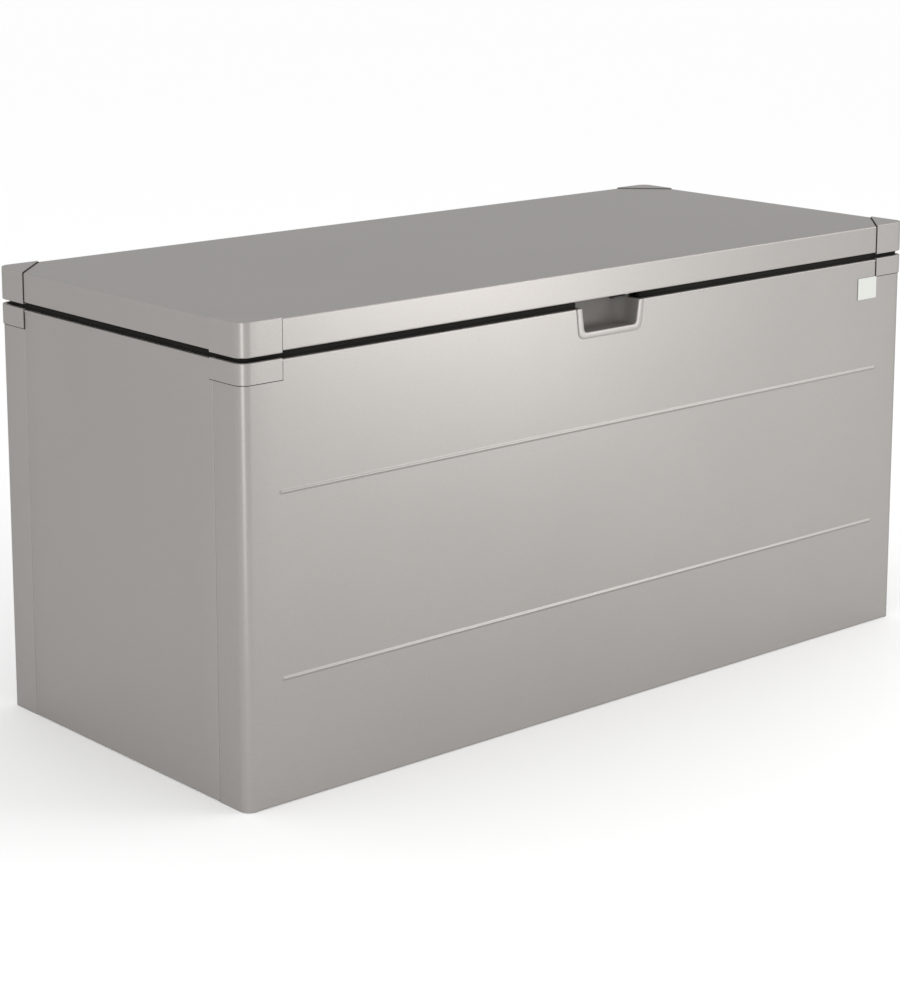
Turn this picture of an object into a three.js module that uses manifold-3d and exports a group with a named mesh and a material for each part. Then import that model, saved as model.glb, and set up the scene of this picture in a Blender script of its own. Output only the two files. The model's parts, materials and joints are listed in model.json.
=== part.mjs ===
// A sheet-steel deck storage box: a folded body on hidden base rails, and a hinged lid on gas struts.
// Millimetres. +X runs along the front to the right, the front faces -Y, +Z is up.
// The origin is on the ground, under the middle of the box.
import * as THREE from "three";
import { mergeVertices } from "three/addons/utils/BufferGeometryUtils.js";
import Module from "manifold-3d";

// ---- Driving dimensions ----
const WIDTH = 1400; // across the front, over the sheet
const DEPTH = 617; // front to back, over the sheet
const LID_TOP = 697; // ground to the top of the lid's sheet
const BODY_TOP = 640; // ground to the top of the body's sheet
const LID_EDGE = 651.5; // ground to the lower edge of the closed lid's skirt
const SHEET = 1; // steel sheet
const CORNER = 17; // outer radius of the upright corners
const GAP = 0.3; // between pieces that lie against each other
const FRONT_WRAP = 65; // how far the front panel reaches round onto the sides
const REAR_WRAP = 70; // the same for the rear panel

const FRONT_FLANGE = 50; // widths of the flanges that turn in at the top of the body
const SIDE_FLANGE = 22;
const REAR_FLANGE = 38;
const BOTTOM_FLANGE = 18;
const HEM_LIFT = 1; // the folded stretches stand this much off the ground
const SEAM_FLANGE = 12; // where two panels meet, both turn in by this much
const SEAM_LOW = 60;
const SEAM_HIGH = 600;

const CAP_LEG = 70; // corner cap, along each side of its corner
const CAP_PROUD = 1.6;
const BODY_CAP_LOW = 611.5;
const BODY_CAP_HIGH = 641.8;
const LID_CAP_LOW = 649;
const CAP_LIP = 4.4; // how far a cap's lip reaches in over the sheet's edge

const BEAD_HEIGHTS = [184.5, 453.5];
const BEAD_END = 638; // from the middle of the box to a bead's round end
const BEAD_WIDTH = 8;
const BEAD_PROUD = 1.6;

const GRIP = { low: 592.6, rim: 9.6, halfTop: 72, halfLow: 66.5, inset: 11.4, depth: 42, wall: 2, round: 6 };
const BADGE = { left: 584.3, right: 631.3, low: 575, high: 611.5, thick: 0.9 };

const FLOOR = { height: 19.3, edge: 50, sheet: 1.2, inset: 2 }; // a tray with its edges turned up
const BASE_RAIL = { at: [-460, 0, 460], crown: 60, foot: 18, sheet: 1.5 };
const RIM_RAIL = { top: 650, sheet: 1.2, frontLow: 585, sideLow: 612, rearLow: 620 };
const SEAL = { out: 5, in: 14, rearOut: 27, rearIn: 36, gripEnd: 69, rearCorner: 21 };

const HINGE_X = [-430, 0, 430];
const HINGE = { y: 305.8, z: 646.3, length: 80, knuckle: 4, pin: 2, leaf: 2, inner: 282.5 };
const LID_FLANGES = { side: 20, front: 22, rear: 40 };
const STIFFENER = { at: [-430, 0, 430], crown: 56, foot: 16, sheet: 1.2, deep: 20, front: -265, rear: 262 };

const STRUT_X = 660; // plane of each gas strut
const STRUT_ON_BODY = { back: 50, down: 60 }; // its lower ball, from the lid's hinge line
const STRUT_ON_LID = { back: 240, up: 20 }; // its upper ball, with the lid closed
const STRUT = { tube: 9, bore: 7.4, rod: 4, piston: 7, socket: 6.5, ball: 4, end: 14, shown: 8 };
const STRUT_PLATE = { thick: 3, bodyIn: 26.8, lidIn: 29, lidFoot: 6, half: 20, below: 12 };

const LOCK = { x: 46, inset: 18, camLow: 644.3, camHigh: 646.8, reach: 29, plug: 6, barrel: 9, collar: 11 };
const STRIKER = { half: 10, tongueIn: 44.8, web: 48.2, back: 49.9, low: 605, under: 647.6, top: 649.5 };

const HALF_W = WIDTH / 2;
const HALF_D = DEPTH / 2;
const ARC_STEPS = 6; // flats in a quarter turn of a sheet corner

// ---- Finishes ----
function finish(color, roughness, metalness) {
  return new THREE.MeshStandardMaterial({ color, roughness, metalness });
}
const powderCoat = () => finish(0xa6a29c, 0.5, 0.3);
const cupPlastic = () => finish(0x6f6b66, 0.6, 0);
const blackSteel = () => finish(0x2b2926, 0.6, 0.2);
const zincSteel = () => finish(0xb9bcbe, 0.35, 0.9);
const bareAluminium = () => finish(0xe4e4e2, 0.4, 0.6);
const blackRubber = () => finish(0x1d1c1a, 0.85, 0);
const chrome = () => finish(0xd8dadc, 0.15, 1);
const blackPlastic = () => finish(0x242424, 0.5, 0);

// ---- Solids ----
const wasm = await Module();
wasm.setup();

function solid(geometry) {
  const bare = geometry.clone();
  bare.deleteAttribute("normal");
  bare.deleteAttribute("uv");
  const merged = mergeVertices(bare, 1e-4);
  return new wasm.Manifold(
    new wasm.Mesh({
      numProp: 3,
      vertProperties: new Float32Array(merged.attributes.position.array),
      triVerts: new Uint32Array(merged.index.array),
    }),
  );
}

function geometryOf(made) {
  const mesh = made.getMesh();
  const geometry = new THREE.BufferGeometry();
  geometry.setAttribute("position", new THREE.BufferAttribute(mesh.vertProperties, 3));
  geometry.setIndex(new THREE.BufferAttribute(mesh.triVerts, 1));
  const flat = geometry.toNonIndexed();
  flat.computeVertexNormals();
  return flat;
}

const union = (...pieces) => pieces.reduce((sum, piece) => sum.add(piece));

function block(x0, x1, y0, y1, z0, z1) {
  const geometry = new THREE.BoxGeometry(x1 - x0, y1 - y0, z1 - z0);
  return solid(geometry.translate((x0 + x1) / 2, (y0 + y1) / 2, (z0 + z1) / 2));
}

// A flat outline carried upwards from z0 to z1.
function upright(shape, z0, z1) {
  const options = { depth: z1 - z0, bevelEnabled: false, curveSegments: ARC_STEPS };
  return solid(new THREE.ExtrudeGeometry(shape, options).translate(0, 0, z0));
}

function polygon(points) {
  return new THREE.Shape(points.map(([a, b]) => new THREE.Vector2(a, b)));
}

// A profile given as (y, z) points, carried along X.
function alongX(points, x0, x1) {
  const geometry = new THREE.ExtrudeGeometry(polygon(points), { depth: x1 - x0, bevelEnabled: false });
  const turn = new THREE.Matrix4().makeBasis(
    new THREE.Vector3(0, 1, 0),
    new THREE.Vector3(0, 0, 1),
    new THREE.Vector3(1, 0, 0),
  );
  return solid(geometry.applyMatrix4(turn).translate(x0, 0, 0));
}

// A profile given as (x, z) points, carried along Y.
function alongY(shape, y0, y1) {
  const options = { depth: y1 - y0, bevelEnabled: false, curveSegments: ARC_STEPS };
  const geometry = new THREE.ExtrudeGeometry(shape, options);
  return solid(geometry.rotateX(Math.PI / 2).translate(0, y1, 0));
}

// A round bar of given radius from x0 to x1 about the line through y, z.
function barAlongX(radius, x0, x1, y, z, sides = 16) {
  const geometry = new THREE.CylinderGeometry(radius, radius, x1 - x0, sides);
  return solid(geometry.rotateZ(Math.PI / 2).translate((x0 + x1) / 2, y, z));
}

// A profile of (radius, height) points turned about the upright axis through x, y.
function turned(points, x, y, sides = 20) {
  const profile = points.map(([r, h]) => new THREE.Vector2(r, h));
  const geometry = new THREE.LatheGeometry(profile, sides);
  return solid(geometry.rotateX(Math.PI / 2).translate(x, y, 0));
}

// The box's plan outline, drawn in from the sheet's outer face by inset.
function plan(inset) {
  const w = HALF_W - inset;
  const d = HALF_D - inset;
  const r = Math.max(CORNER - inset, 1);
  const shape = new THREE.Shape();
  shape.moveTo(w, r - d);
  shape.lineTo(w, d - r);
  shape.absarc(w - r, d - r, r, 0, Math.PI / 2);
  shape.lineTo(r - w, d);
  shape.absarc(r - w, d - r, r, Math.PI / 2, Math.PI);
  shape.lineTo(-w, r - d);
  shape.absarc(r - w, r - d, r, Math.PI, 1.5 * Math.PI);
  shape.lineTo(w - r, -d);
  shape.absarc(w - r, r - d, r, 1.5 * Math.PI, 2 * Math.PI);
  return shape;
}

const prism = (inset, z0, z1) => upright(plan(inset), z0, z1);
const wall = (outer, inner, z0, z1) => prism(outer, z0, z1).subtract(prism(inner, z0 - 1, z1 + 1));

// ---- Assembly ----
const box = new THREE.Group();

function node(name, made, material) {
  const mesh = new THREE.Mesh(geometryOf(made), material);
  mesh.name = name;
  box.add(mesh);
}

const SIDES = [
  { name: "left", sign: -1 },
  { name: "right", sign: 1 },
];
const ENDS = [
  { name: "front", sign: -1, wrap: FRONT_WRAP, flange: FRONT_FLANGE },
  { name: "rear", sign: 1, wrap: REAR_WRAP, flange: REAR_FLANGE },
];
const STRAIGHT = HALF_W - CORNER; // half of the straight stretch between the round corners

// A block measured in from the front (sign -1) or rear (sign 1) face.
function fromEnd(sign, x0, x1, in0, in1, z0, z1) {
  const ys = [sign * (HALF_D - in0), sign * (HALF_D - in1)].sort((a, b) => a - b);
  return block(x0, x1, ys[0], ys[1], z0, z1);
}

// A block measured in from the left (sign -1) or right (sign 1) face.
function fromSide(sign, in0, in1, y0, y1, z0, z1) {
  const xs = [sign * (HALF_W - in0), sign * (HALF_W - in1)].sort((a, b) => a - b);
  return block(xs[0], xs[1], y0, y1, z0, z1);
}

// Long bead with round ends, pressed out of an end panel. shrink gives its hollow side.
function bead(sign, height, shrink) {
  const radius = ((BEAD_WIDTH / 2) ** 2 + BEAD_PROUD ** 2) / (2 * BEAD_PROUD);
  const geometry = new THREE.CapsuleGeometry(radius - shrink, 2 * BEAD_END - BEAD_WIDTH, 4, 20);
  const y = sign * (HALF_D + BEAD_PROUD - radius);
  return solid(geometry.rotateZ(Math.PI / 2).translate(0, y, height));
}

// ---- Grip recess outlines ----
const gripLow = GRIP.low + GRIP.rim;

// Outline of the cup's rim, seen from the front: wide at the top, with round lower corners.
function gripOutline(halfTop, halfLow, low, high, radius) {
  const slope = (halfTop - halfLow) / (BODY_TOP - low);
  const lean = slope * radius;
  const shape = new THREE.Shape();
  shape.moveTo(halfLow + slope * (high - low), high);
  shape.lineTo(-halfLow - slope * (high - low), high);
  shape.lineTo(-halfLow - lean, low + radius);
  shape.quadraticCurveTo(-halfLow, low, radius - halfLow, low);
  shape.lineTo(halfLow - radius, low);
  shape.quadraticCurveTo(halfLow, low, halfLow + lean, low + radius);
  return shape;
}

// Hollow of the recess at one height, seen from above: straight in front, round at the back.
function scoopRing(half, depth, front, z) {
  const ring = [new THREE.Vector3(-half, front, z), new THREE.Vector3(half, front, z)];
  const steps = 12;
  const back = 1 - HALF_D + depth;
  const start = 2 - HALF_D;
  for (let i = 0; i <= steps; i++) {
    const angle = (Math.PI * i) / steps;
    const squareness = 0.55; // under 1 pushes the curve out towards a rectangle
    const across = Math.sign(Math.cos(angle)) * Math.abs(Math.cos(angle)) ** squareness;
    const inwards = Math.sin(angle) ** squareness;
    ring.push(new THREE.Vector3(half * across, start + (back - start) * inwards, z));
  }
  return ring;
}

// Closed solid through a stack of rings that have equally many points.
function loft(rings) {
  const points = rings.flat();
  const count = rings[0].length;
  const index = [];
  rings.slice(1).forEach((_, level) => {
    for (let i = 0; i < count; i++) {
      const j = (i + 1) % count;
      const [a, b] = [level * count + i, level * count + j];
      index.push(a, b, b + count, a, b + count, a + count);
    }
  });
  const cap = THREE.ShapeUtils.triangulateShape(
    rings[0].map((p) => new THREE.Vector2(p.x, p.y)),
    [],
  );
  const top = (rings.length - 1) * count;
  cap.forEach(([a, b, c]) => index.push(a, c, b, top + a, top + b, top + c));
  const geometry = new THREE.BufferGeometry().setFromPoints(points);
  geometry.setIndex(index);
  return solid(geometry);
}

// The hollow of the recess: sides that lean out, round lower corners, a floor that curves up into
// the back. grow thickens it by the cup's wall.
function scoop(grow, front, top) {
  const low = gripLow - grow;
  const radius = GRIP.round + grow;
  const slope = (GRIP.halfTop - GRIP.halfLow) / (BODY_TOP - gripLow);
  const heights = [0, 0.15, 0.5, 1].map((share) => radius * share);
  heights.push(radius * 2.5, top - low);
  const rings = heights.map((height) => {
    const drop = Math.max(0, 1 - height / radius);
    const tuck = radius * (1 - Math.sqrt(1 - drop ** 2));
    const half = GRIP.halfLow - GRIP.inset + grow + slope * (height - grow) - tuck;
    const level = Math.min(1, height / 30);
    const round = Math.sqrt(1 - (1 - level) ** 4);
    return scoopRing(half, (GRIP.depth + grow) * (0.7 + 0.3 * round), front, low + height);
  });
  return loft(rings);
}

const CUP_TOP = 650;

// ---- Body panels ----
function endPanel({ sign, wrap, flange }) {
  const reach = fromEnd(sign, -HALF_W - 1, HALF_W + 1, -1, wrap, -1, BODY_TOP + 1);
  const seams = SIDES.map((side) => {
    const y = [sign * (HALF_D - wrap), sign * (HALF_D - wrap + SHEET)].sort((a, b) => a - b);
    return fromSide(side.sign, SHEET / 2, SEAM_FLANGE, y[0], y[1], SEAM_LOW, SEAM_HIGH);
  });
  let panel = union(
    wall(0, SHEET, 0, BODY_TOP).intersect(reach),
    fromEnd(sign, -STRAIGHT, STRAIGHT, SHEET / 2, flange, BODY_TOP - SHEET, BODY_TOP),
    fromEnd(sign, -STRAIGHT, STRAIGHT, SHEET / 2, BOTTOM_FLANGE, HEM_LIFT, HEM_LIFT + SHEET),
    ...seams,
  );
  panel = panel.subtract(fromEnd(sign, -STRAIGHT, STRAIGHT, -1, SHEET + 1, -1, HEM_LIFT));
  const outside = fromEnd(sign, -HALF_W, HALF_W, -10, SHEET / 2, 0, BODY_TOP);
  BEAD_HEIGHTS.forEach((height) => {
    panel = panel.add(bead(sign, height, 0).intersect(outside)).subtract(bead(sign, height, SHEET));
  });
  return panel;
}

// The front panel's top flange stops on each side of the cup, and its face is cut to the cup's outline.
const flangeBreak = 66;
const cupCutout = fromEnd(
  -1,
  -flangeBreak,
  flangeBreak,
  1.5 * SHEET,
  FRONT_FLANGE + 1,
  BODY_TOP - 2,
  BODY_TOP + 1,
);
const frontOpening = scoop(GRIP.wall + GAP, -HALF_D - 2, CUP_TOP);
node("front_panel", endPanel(ENDS[0]).subtract(cupCutout).subtract(frontOpening), powderCoat());
node("rear_panel", endPanel(ENDS[1]), powderCoat());

const sideFront = -HALF_D + FRONT_WRAP + 0.4; // 0.4 mm shows at each upright seam
const sideRear = HALF_D - REAR_WRAP - 0.4;
SIDES.forEach(({ name, sign }) => {
  const panel = union(
    fromSide(sign, 0, SHEET, sideFront, sideRear, HEM_LIFT, BODY_TOP),
    fromSide(sign, 0, SIDE_FLANGE, sideFront, sideRear, BODY_TOP - SHEET, BODY_TOP),
    fromSide(sign, 0, BOTTOM_FLANGE, sideFront, sideRear, HEM_LIFT, HEM_LIFT + SHEET),
    fromSide(sign, 0, SEAM_FLANGE, sideFront, sideFront + SHEET, SEAM_LOW, SEAM_HIGH),
    fromSide(sign, 0, SEAM_FLANGE, sideRear - SHEET, sideRear, SEAM_LOW, SEAM_HIGH),
  );
  node("side_panel_" + name, panel, powderCoat());
});

// ---- Floor and the rails under it ----
node(
  "floor_panel",
  union(
    prism(FLOOR.inset, FLOOR.height, FLOOR.height + FLOOR.sheet),
    wall(FLOOR.inset, FLOOR.inset + FLOOR.sheet, FLOOR.height + FLOOR.sheet / 2, FLOOR.edge),
  ),
  powderCoat(),
);

// Open-bottomed hat section: feet on the ground, a flat crown under the floor.
function hat(centre, low, high, crown, foot, thick) {
  const [a, b] = [crown / 2, crown / 2 + foot];
  const half = [
    [a, low],
    [b, low],
    [b, low + thick],
    [a + thick, low + thick],
    [a + thick, high],
  ];
  const inner = [
    [-a, high - thick],
    [a, high - thick],
  ];
  const right = half.map(([x, z]) => [centre + x, z]);
  const left = half.map(([x, z]) => [centre - x, z]).reverse();
  return polygon([...right, ...left, ...inner.map(([x, z]) => [centre + x, z])]);
}
const railLength = HALF_D - BOTTOM_FLANGE - 1;
BASE_RAIL.at.forEach((x, i) => {
  const section = hat(x, 0, FLOOR.height - GAP, BASE_RAIL.crown, BASE_RAIL.foot, BASE_RAIL.sheet);
  node("base_rail_" + (i + 1), alongY(section, -railLength, railLength), blackSteel());
});

// ---- Rim rails: each closes its panel's top flange into a box section and stands up as a drip edge ----
// Points (in, z) of a rail whose web stands just inside a flange.
function railProfile(flange, low) {
  const near = SHEET + GAP;
  const web = flange + GAP;
  return [
    [near, low],
    [web + RIM_RAIL.sheet, low],
    [web + RIM_RAIL.sheet, RIM_RAIL.top],
    [web, RIM_RAIL.top],
    [web, low + RIM_RAIL.sheet],
    [near, low + RIM_RAIL.sheet],
  ];
}
const frontRail = railProfile(FRONT_FLANGE, RIM_RAIL.frontLow).map(([u, z]) => [u - HALF_D, z]);
const rearRail = railProfile(REAR_FLANGE, RIM_RAIL.rearLow).map(([u, z]) => [HALF_D - u, z]);
node("rim_rail_front", alongX(frontRail, -STRAIGHT, STRAIGHT), blackSteel());
node("rim_rail_rear", alongX(rearRail.reverse(), -STRAIGHT, STRAIGHT), blackSteel());
const railFront = -HALF_D + FRONT_FLANGE + GAP + RIM_RAIL.sheet + GAP;
const railRear = HALF_D - REAR_FLANGE - GAP - RIM_RAIL.sheet - GAP;
SIDES.forEach(({ name, sign }) => {
  const profile = railProfile(SIDE_FLANGE, RIM_RAIL.sideLow).map(([u, z]) => [sign * (HALF_W - u), z]);
  node("rim_rail_" + name, alongY(polygon(profile), railFront, railRear), blackSteel());
});

// ---- Weather seal, in lengths that butt at the corners and stop at the grip recess ----
const sealLow = BODY_TOP + GAP;
const sealHigh = LID_EDGE - GAP;
const sealRun = HALF_W - SEAL.in - GAP;
SIDES.forEach(({ name, sign }) => {
  const [from, to] = [sign * SEAL.gripEnd, sign * sealRun].sort((a, b) => a - b);
  const across = fromEnd(-1, from, to, SEAL.out, SEAL.in, sealLow, sealHigh);
  node("seal_front_" + name, across, blackRubber());
  const rear = HALF_D - SEAL.rearCorner;
  const straight = fromSide(sign, SEAL.out, SEAL.in, SEAL.out - HALF_D, rear, sealLow, sealHigh);
  node("seal_" + name, straight.intersect(prism(SEAL.out, sealLow - 1, sealHigh + 1)), blackRubber());
});
node("seal_rear", fromEnd(1, -sealRun, sealRun, SEAL.rearOut, SEAL.rearIn, sealLow, sealHigh), blackRubber());

// ---- Corner caps ----
// Square of one corner, leg long, reaching a little outside the sheet.
function cornerZone(sx, sy, leg, z0, z1) {
  const xs = [sx * (HALF_W - leg), sx * (HALF_W + 5)].sort((a, b) => a - b);
  const ys = [sy * (HALF_D - leg), sy * (HALF_D + 5)].sort((a, b) => a - b);
  return block(xs[0], xs[1], ys[0], ys[1], z0, z1);
}

function bodyCap(sx, sy, wrap) {
  const skin = union(
    wall(-CAP_PROUD, -GAP, BODY_CAP_LOW, BODY_CAP_HIGH),
    wall(-CAP_PROUD, CAP_LIP, BODY_TOP + GAP, BODY_CAP_HIGH),
  ).intersect(cornerZone(sx, sy, CAP_LEG, 0, LID_TOP));
  const curb = wall(SHEET + GAP, CAP_LIP, BODY_TOP - SHEET - GAP, BODY_CAP_HIGH);
  const shelf = wall(SHEET + GAP, CORNER - 0.6, BODY_TOP - SHEET - GAP, BODY_TOP);
  const open = [sx * (STRAIGHT + GAP), sx * (HALF_W + 5)].sort((a, b) => a - b);
  const ys = [sy * (HALF_D - wrap + SHEET), sy * (HALF_D + 5)].sort((a, b) => a - b);
  const free = block(open[0], open[1], ys[0], ys[1], 0, LID_TOP);
  return skin.add(curb.add(shelf).intersect(free));
}

function lidCap(sx, sy) {
  const skin = union(
    wall(-CAP_PROUD, -GAP, LID_CAP_LOW, LID_TOP + CAP_PROUD),
    wall(-CAP_PROUD, CAP_LIP, LID_CAP_LOW, LID_EDGE - GAP),
  ).intersect(cornerZone(sx, sy, CAP_LEG, 0, LID_TOP + 10));
  const reach = 10;
  const web = polygon([
    [sx * (HALF_W - CAP_LEG - reach), sy * (HALF_D + reach)],
    [sx * (HALF_W + reach), sy * (HALF_D - CAP_LEG - reach)],
    [sx * (HALF_W + reach), sy * (HALF_D + reach)],
  ]);
  const top = prism(-CAP_PROUD, LID_TOP + GAP, LID_TOP + CAP_PROUD)
    .intersect(upright(web, LID_TOP, LID_TOP + 10))
    .intersect(cornerZone(sx, sy, CAP_LEG, 0, LID_TOP + 10));
  return skin.add(top);
}

ENDS.forEach((end) => {
  SIDES.forEach((side) => {
    const place = end.name + "_" + side.name;
    node("body_cap_" + place, bodyCap(side.sign, end.sign, end.wrap), powderCoat());
    node("lid_cap_" + place, lidCap(side.sign, end.sign), powderCoat());
  });
});

// ---- Grip cup, blank badge plate ----
const rimFace = alongY(
  gripOutline(GRIP.halfTop, GRIP.halfLow, GRIP.low, BODY_TOP, 12),
  -HALF_D - 1.5,
  -HALF_D - GAP,
);
const cupBody = scoop(GRIP.wall, -HALF_D - 1, CUP_TOP);
const cupHollow = scoop(0, -HALF_D - 6, CUP_TOP + 1);
const camSlot = fromEnd(
  -1,
  LOCK.x - 27,
  LOCK.x + 9,
  LOCK.inset,
  FRONT_FLANGE,
  LOCK.camLow - 1.3,
  LOCK.camHigh + 1.2,
);
node("grip_cup", rimFace.add(cupBody).subtract(cupHollow).subtract(camSlot), cupPlastic());
node(
  "badge_plate",
  fromEnd(-1, BADGE.left, BADGE.right, -GAP - BADGE.thick, -GAP, BADGE.low, BADGE.high),
  bareAluminium(),
);

// ---- Lid ----
const lockY = LOCK.inset - HALF_D;
const lidOpening = block(
  -HALF_W + LID_FLANGES.side,
  HALF_W - LID_FLANGES.side,
  -HALF_D + LID_FLANGES.front,
  HALF_D - LID_FLANGES.rear,
  LID_EDGE - 1,
  LID_EDGE + 5,
);
const barrelHole = turned(
  [
    [0, LID_EDGE - 2],
    [9.4, LID_EDGE - 2],
    [9.4, LID_EDGE + 3],
    [0, LID_EDGE + 3],
  ],
  LOCK.x,
  lockY,
);
node(
  "lid_panel",
  prism(0, LID_EDGE, LID_TOP)
    .subtract(prism(SHEET, LID_EDGE + SHEET, LID_TOP - SHEET))
    .subtract(lidOpening)
    .subtract(barrelHole),
  powderCoat(),
);
const stiffenerHigh = LID_TOP - SHEET - GAP;
STIFFENER.at.forEach((x, i) => {
  const { deep, crown, foot, sheet, front, rear } = STIFFENER;
  const section = hat(x, -stiffenerHigh, deep - stiffenerHigh, crown, foot, sheet);
  const turnedOver = alongY(section, front, rear).rotate([0, 180, 0]).translate([2 * x, 0, 0]);
  node("lid_stiffener_" + (i + 1), turnedOver, blackSteel());
});

// ---- Hinges: leaves in the gap at the back, knuckles alternating along the pin ----
const KNUCKLES = 5;
HINGE_X.forEach((x, i) => {
  const pitch = HINGE.length / KNUCKLES;
  const bore = barAlongX(HINGE.pin + 0.1, x - HINGE.length, x + HINGE.length, HINGE.y, HINGE.z);
  const reach = HINGE.y + HINGE.knuckle;
  const leafEnd = HINGE.y - HINGE.knuckle - 1.3;
  const leaf = (low, high, parity) => {
    const from = x - HINGE.length / 2;
    let made = block(from, from + HINGE.length, HINGE.inner, leafEnd, low, high);
    for (let k = parity; k < KNUCKLES; k += 2) {
      const [a, b] = [from + k * pitch + 0.2, from + (k + 1) * pitch - 0.2];
      const [z0, z1] = [Math.min(low, HINGE.z), Math.max(high, HINGE.z)];
      made = made.add(block(a, b, HINGE.y - HINGE.knuckle, reach, z0, z1));
      made = made.add(block(a, b, leafEnd - 1, HINGE.y, low, high));
      made = made.add(barAlongX(HINGE.knuckle, a, b, HINGE.y, HINGE.z));
    }
    return made.subtract(bore);
  };
  const bodyLow = BODY_TOP + GAP;
  const lidHigh = LID_EDGE - GAP;
  node("hinge_leaf_body_" + (i + 1), leaf(bodyLow, bodyLow + HINGE.leaf, 0), zincSteel());
  node("hinge_leaf_lid_" + (i + 1), leaf(lidHigh - HINGE.leaf, lidHigh, 1), zincSteel());
  const half = HINGE.length / 2;
  node("hinge_pin_" + (i + 1), barAlongX(HINGE.pin, x - half, x + half, HINGE.y, HINGE.z), zincSteel());
});

// ---- Gas struts ----
const lower = new THREE.Vector2(HINGE.y - STRUT_ON_BODY.back, HINGE.z - STRUT_ON_BODY.down);
const upper = new THREE.Vector2(HINGE.y - STRUT_ON_LID.back, HINGE.z + STRUT_ON_LID.up);
const strutLength = lower.distanceTo(upper);
const strutAngle = Math.atan2(upper.y - lower.y, upper.x - lower.x);

// A solid modelled along +Z from the origin, laid from the lower ball towards the upper one.
function alongStrut(made, x, distance) {
  const degrees = (strutAngle * 180) / Math.PI;
  return made
    .translate([0, 0, distance])
    .rotate([degrees - 90, 0, 0])
    .translate([x, lower.x, lower.y]);
}

// Ball stud on the line through y, z: a foot near a plate at plateX, a neck, and the ball at ballX.
function ballStud(sign, plateX, y, z) {
  const run = plateX - GAP - STRUT_X;
  const { ball } = STRUT;
  const profile = [new THREE.Vector2(0, -ball)];
  for (let i = 1; i < 6; i++) {
    const angle = -Math.PI / 2 + (Math.PI * i) / 7;
    profile.push(new THREE.Vector2(ball * Math.cos(angle), ball * Math.sin(angle)));
  }
  profile.push(new THREE.Vector2(2.2, 3.6));
  profile.push(new THREE.Vector2(2.2, run - 3));
  profile.push(new THREE.Vector2(5.5, run - 3));
  profile.push(new THREE.Vector2(5.5, run));
  profile.push(new THREE.Vector2(0, run));
  const geometry = new THREE.LatheGeometry(profile, 12);
  return solid(geometry.rotateZ((-sign * Math.PI) / 2).translate(sign * STRUT_X, y, z));
}

// Moulded end of a strut: a short barrel along the strut with a blind hole for the ball.
function ballSocket(sign, distance, from, to, y, z) {
  const barrel = turned(
    [
      [0, from],
      [STRUT.socket, from],
      [STRUT.socket, to],
      [0, to],
    ],
    0,
    0,
    16,
  );
  const xs = [sign * (STRUT_X - STRUT.ball - 0.6), sign * (STRUT_X + 20)].sort((a, b) => a - b);
  const hole = barAlongX(STRUT.ball + 0.5, xs[0], xs[1], y, z, 12);
  return alongStrut(barrel, sign * STRUT_X, distance).subtract(hole);
}

const tubeFrom = STRUT.end;
const tubeTo = strutLength - STRUT.end - STRUT.shown;
const rodFrom = tubeFrom + 14;
const rodTo = strutLength - STRUT.end;
const bodyPlateX = HALF_W - STRUT_PLATE.bodyIn;
const lidPlateX = HALF_W - STRUT_PLATE.lidIn;

SIDES.forEach(({ name, sign }) => {
  const x = sign * STRUT_X;
  const tube = turned(
    [
      [0, tubeFrom],
      [STRUT.tube, tubeFrom],
      [STRUT.tube, tubeTo],
      [STRUT.rod + GAP, tubeTo],
      [STRUT.rod + GAP, tubeTo - 6],
      [STRUT.bore, tubeTo - 6],
      [STRUT.bore, tubeFrom + 3],
      [0, tubeFrom + 3],
    ],
    0,
    0,
    16,
  );
  const rod = turned(
    [
      [0, rodFrom],
      [STRUT.piston, rodFrom],
      [STRUT.piston, rodFrom + 9],
      [STRUT.rod, rodFrom + 9],
      [STRUT.rod, rodTo - GAP],
      [0, rodTo - GAP],
    ],
    0,
    0,
    16,
  );
  node("strut_tube_" + name, alongStrut(tube, x, 0), blackSteel());
  node("strut_rod_" + name, alongStrut(rod, x, 0), chrome());
  const end = STRUT.end - GAP;
  const lowSocket = ballSocket(sign, 0, -8, end, lower.x, lower.y);
  const highSocket = ballSocket(sign, strutLength, -STRUT.end, 8, upper.x, upper.y);
  node("strut_socket_low_" + name, lowSocket, blackPlastic());
  node("strut_socket_high_" + name, highSocket, blackPlastic());
  node("ball_stud_low_" + name, ballStud(sign, bodyPlateX, lower.x, lower.y), zincSteel());
  node("ball_stud_high_" + name, ballStud(sign, lidPlateX, upper.x, upper.y), zincSteel());

  const { thick, bodyIn, lidIn, lidFoot, half, below } = STRUT_PLATE;
  node(
    "strut_plate_body_" + name,
    fromSide(sign, bodyIn - thick, bodyIn, lower.x - 25, lower.x + 12, lower.y - below, RIM_RAIL.top - 3),
    zincSteel(),
  );
  const plateTop = stiffenerHigh;
  node(
    "strut_plate_lid_" + name,
    union(
      fromSide(sign, lidIn - thick, lidIn, upper.x - half, upper.x + half, upper.y - below, plateTop),
      fromSide(sign, lidFoot, lidIn, upper.x - half, upper.x + half, plateTop - thick, plateTop),
    ),
    zincSteel(),
  );
});

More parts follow.
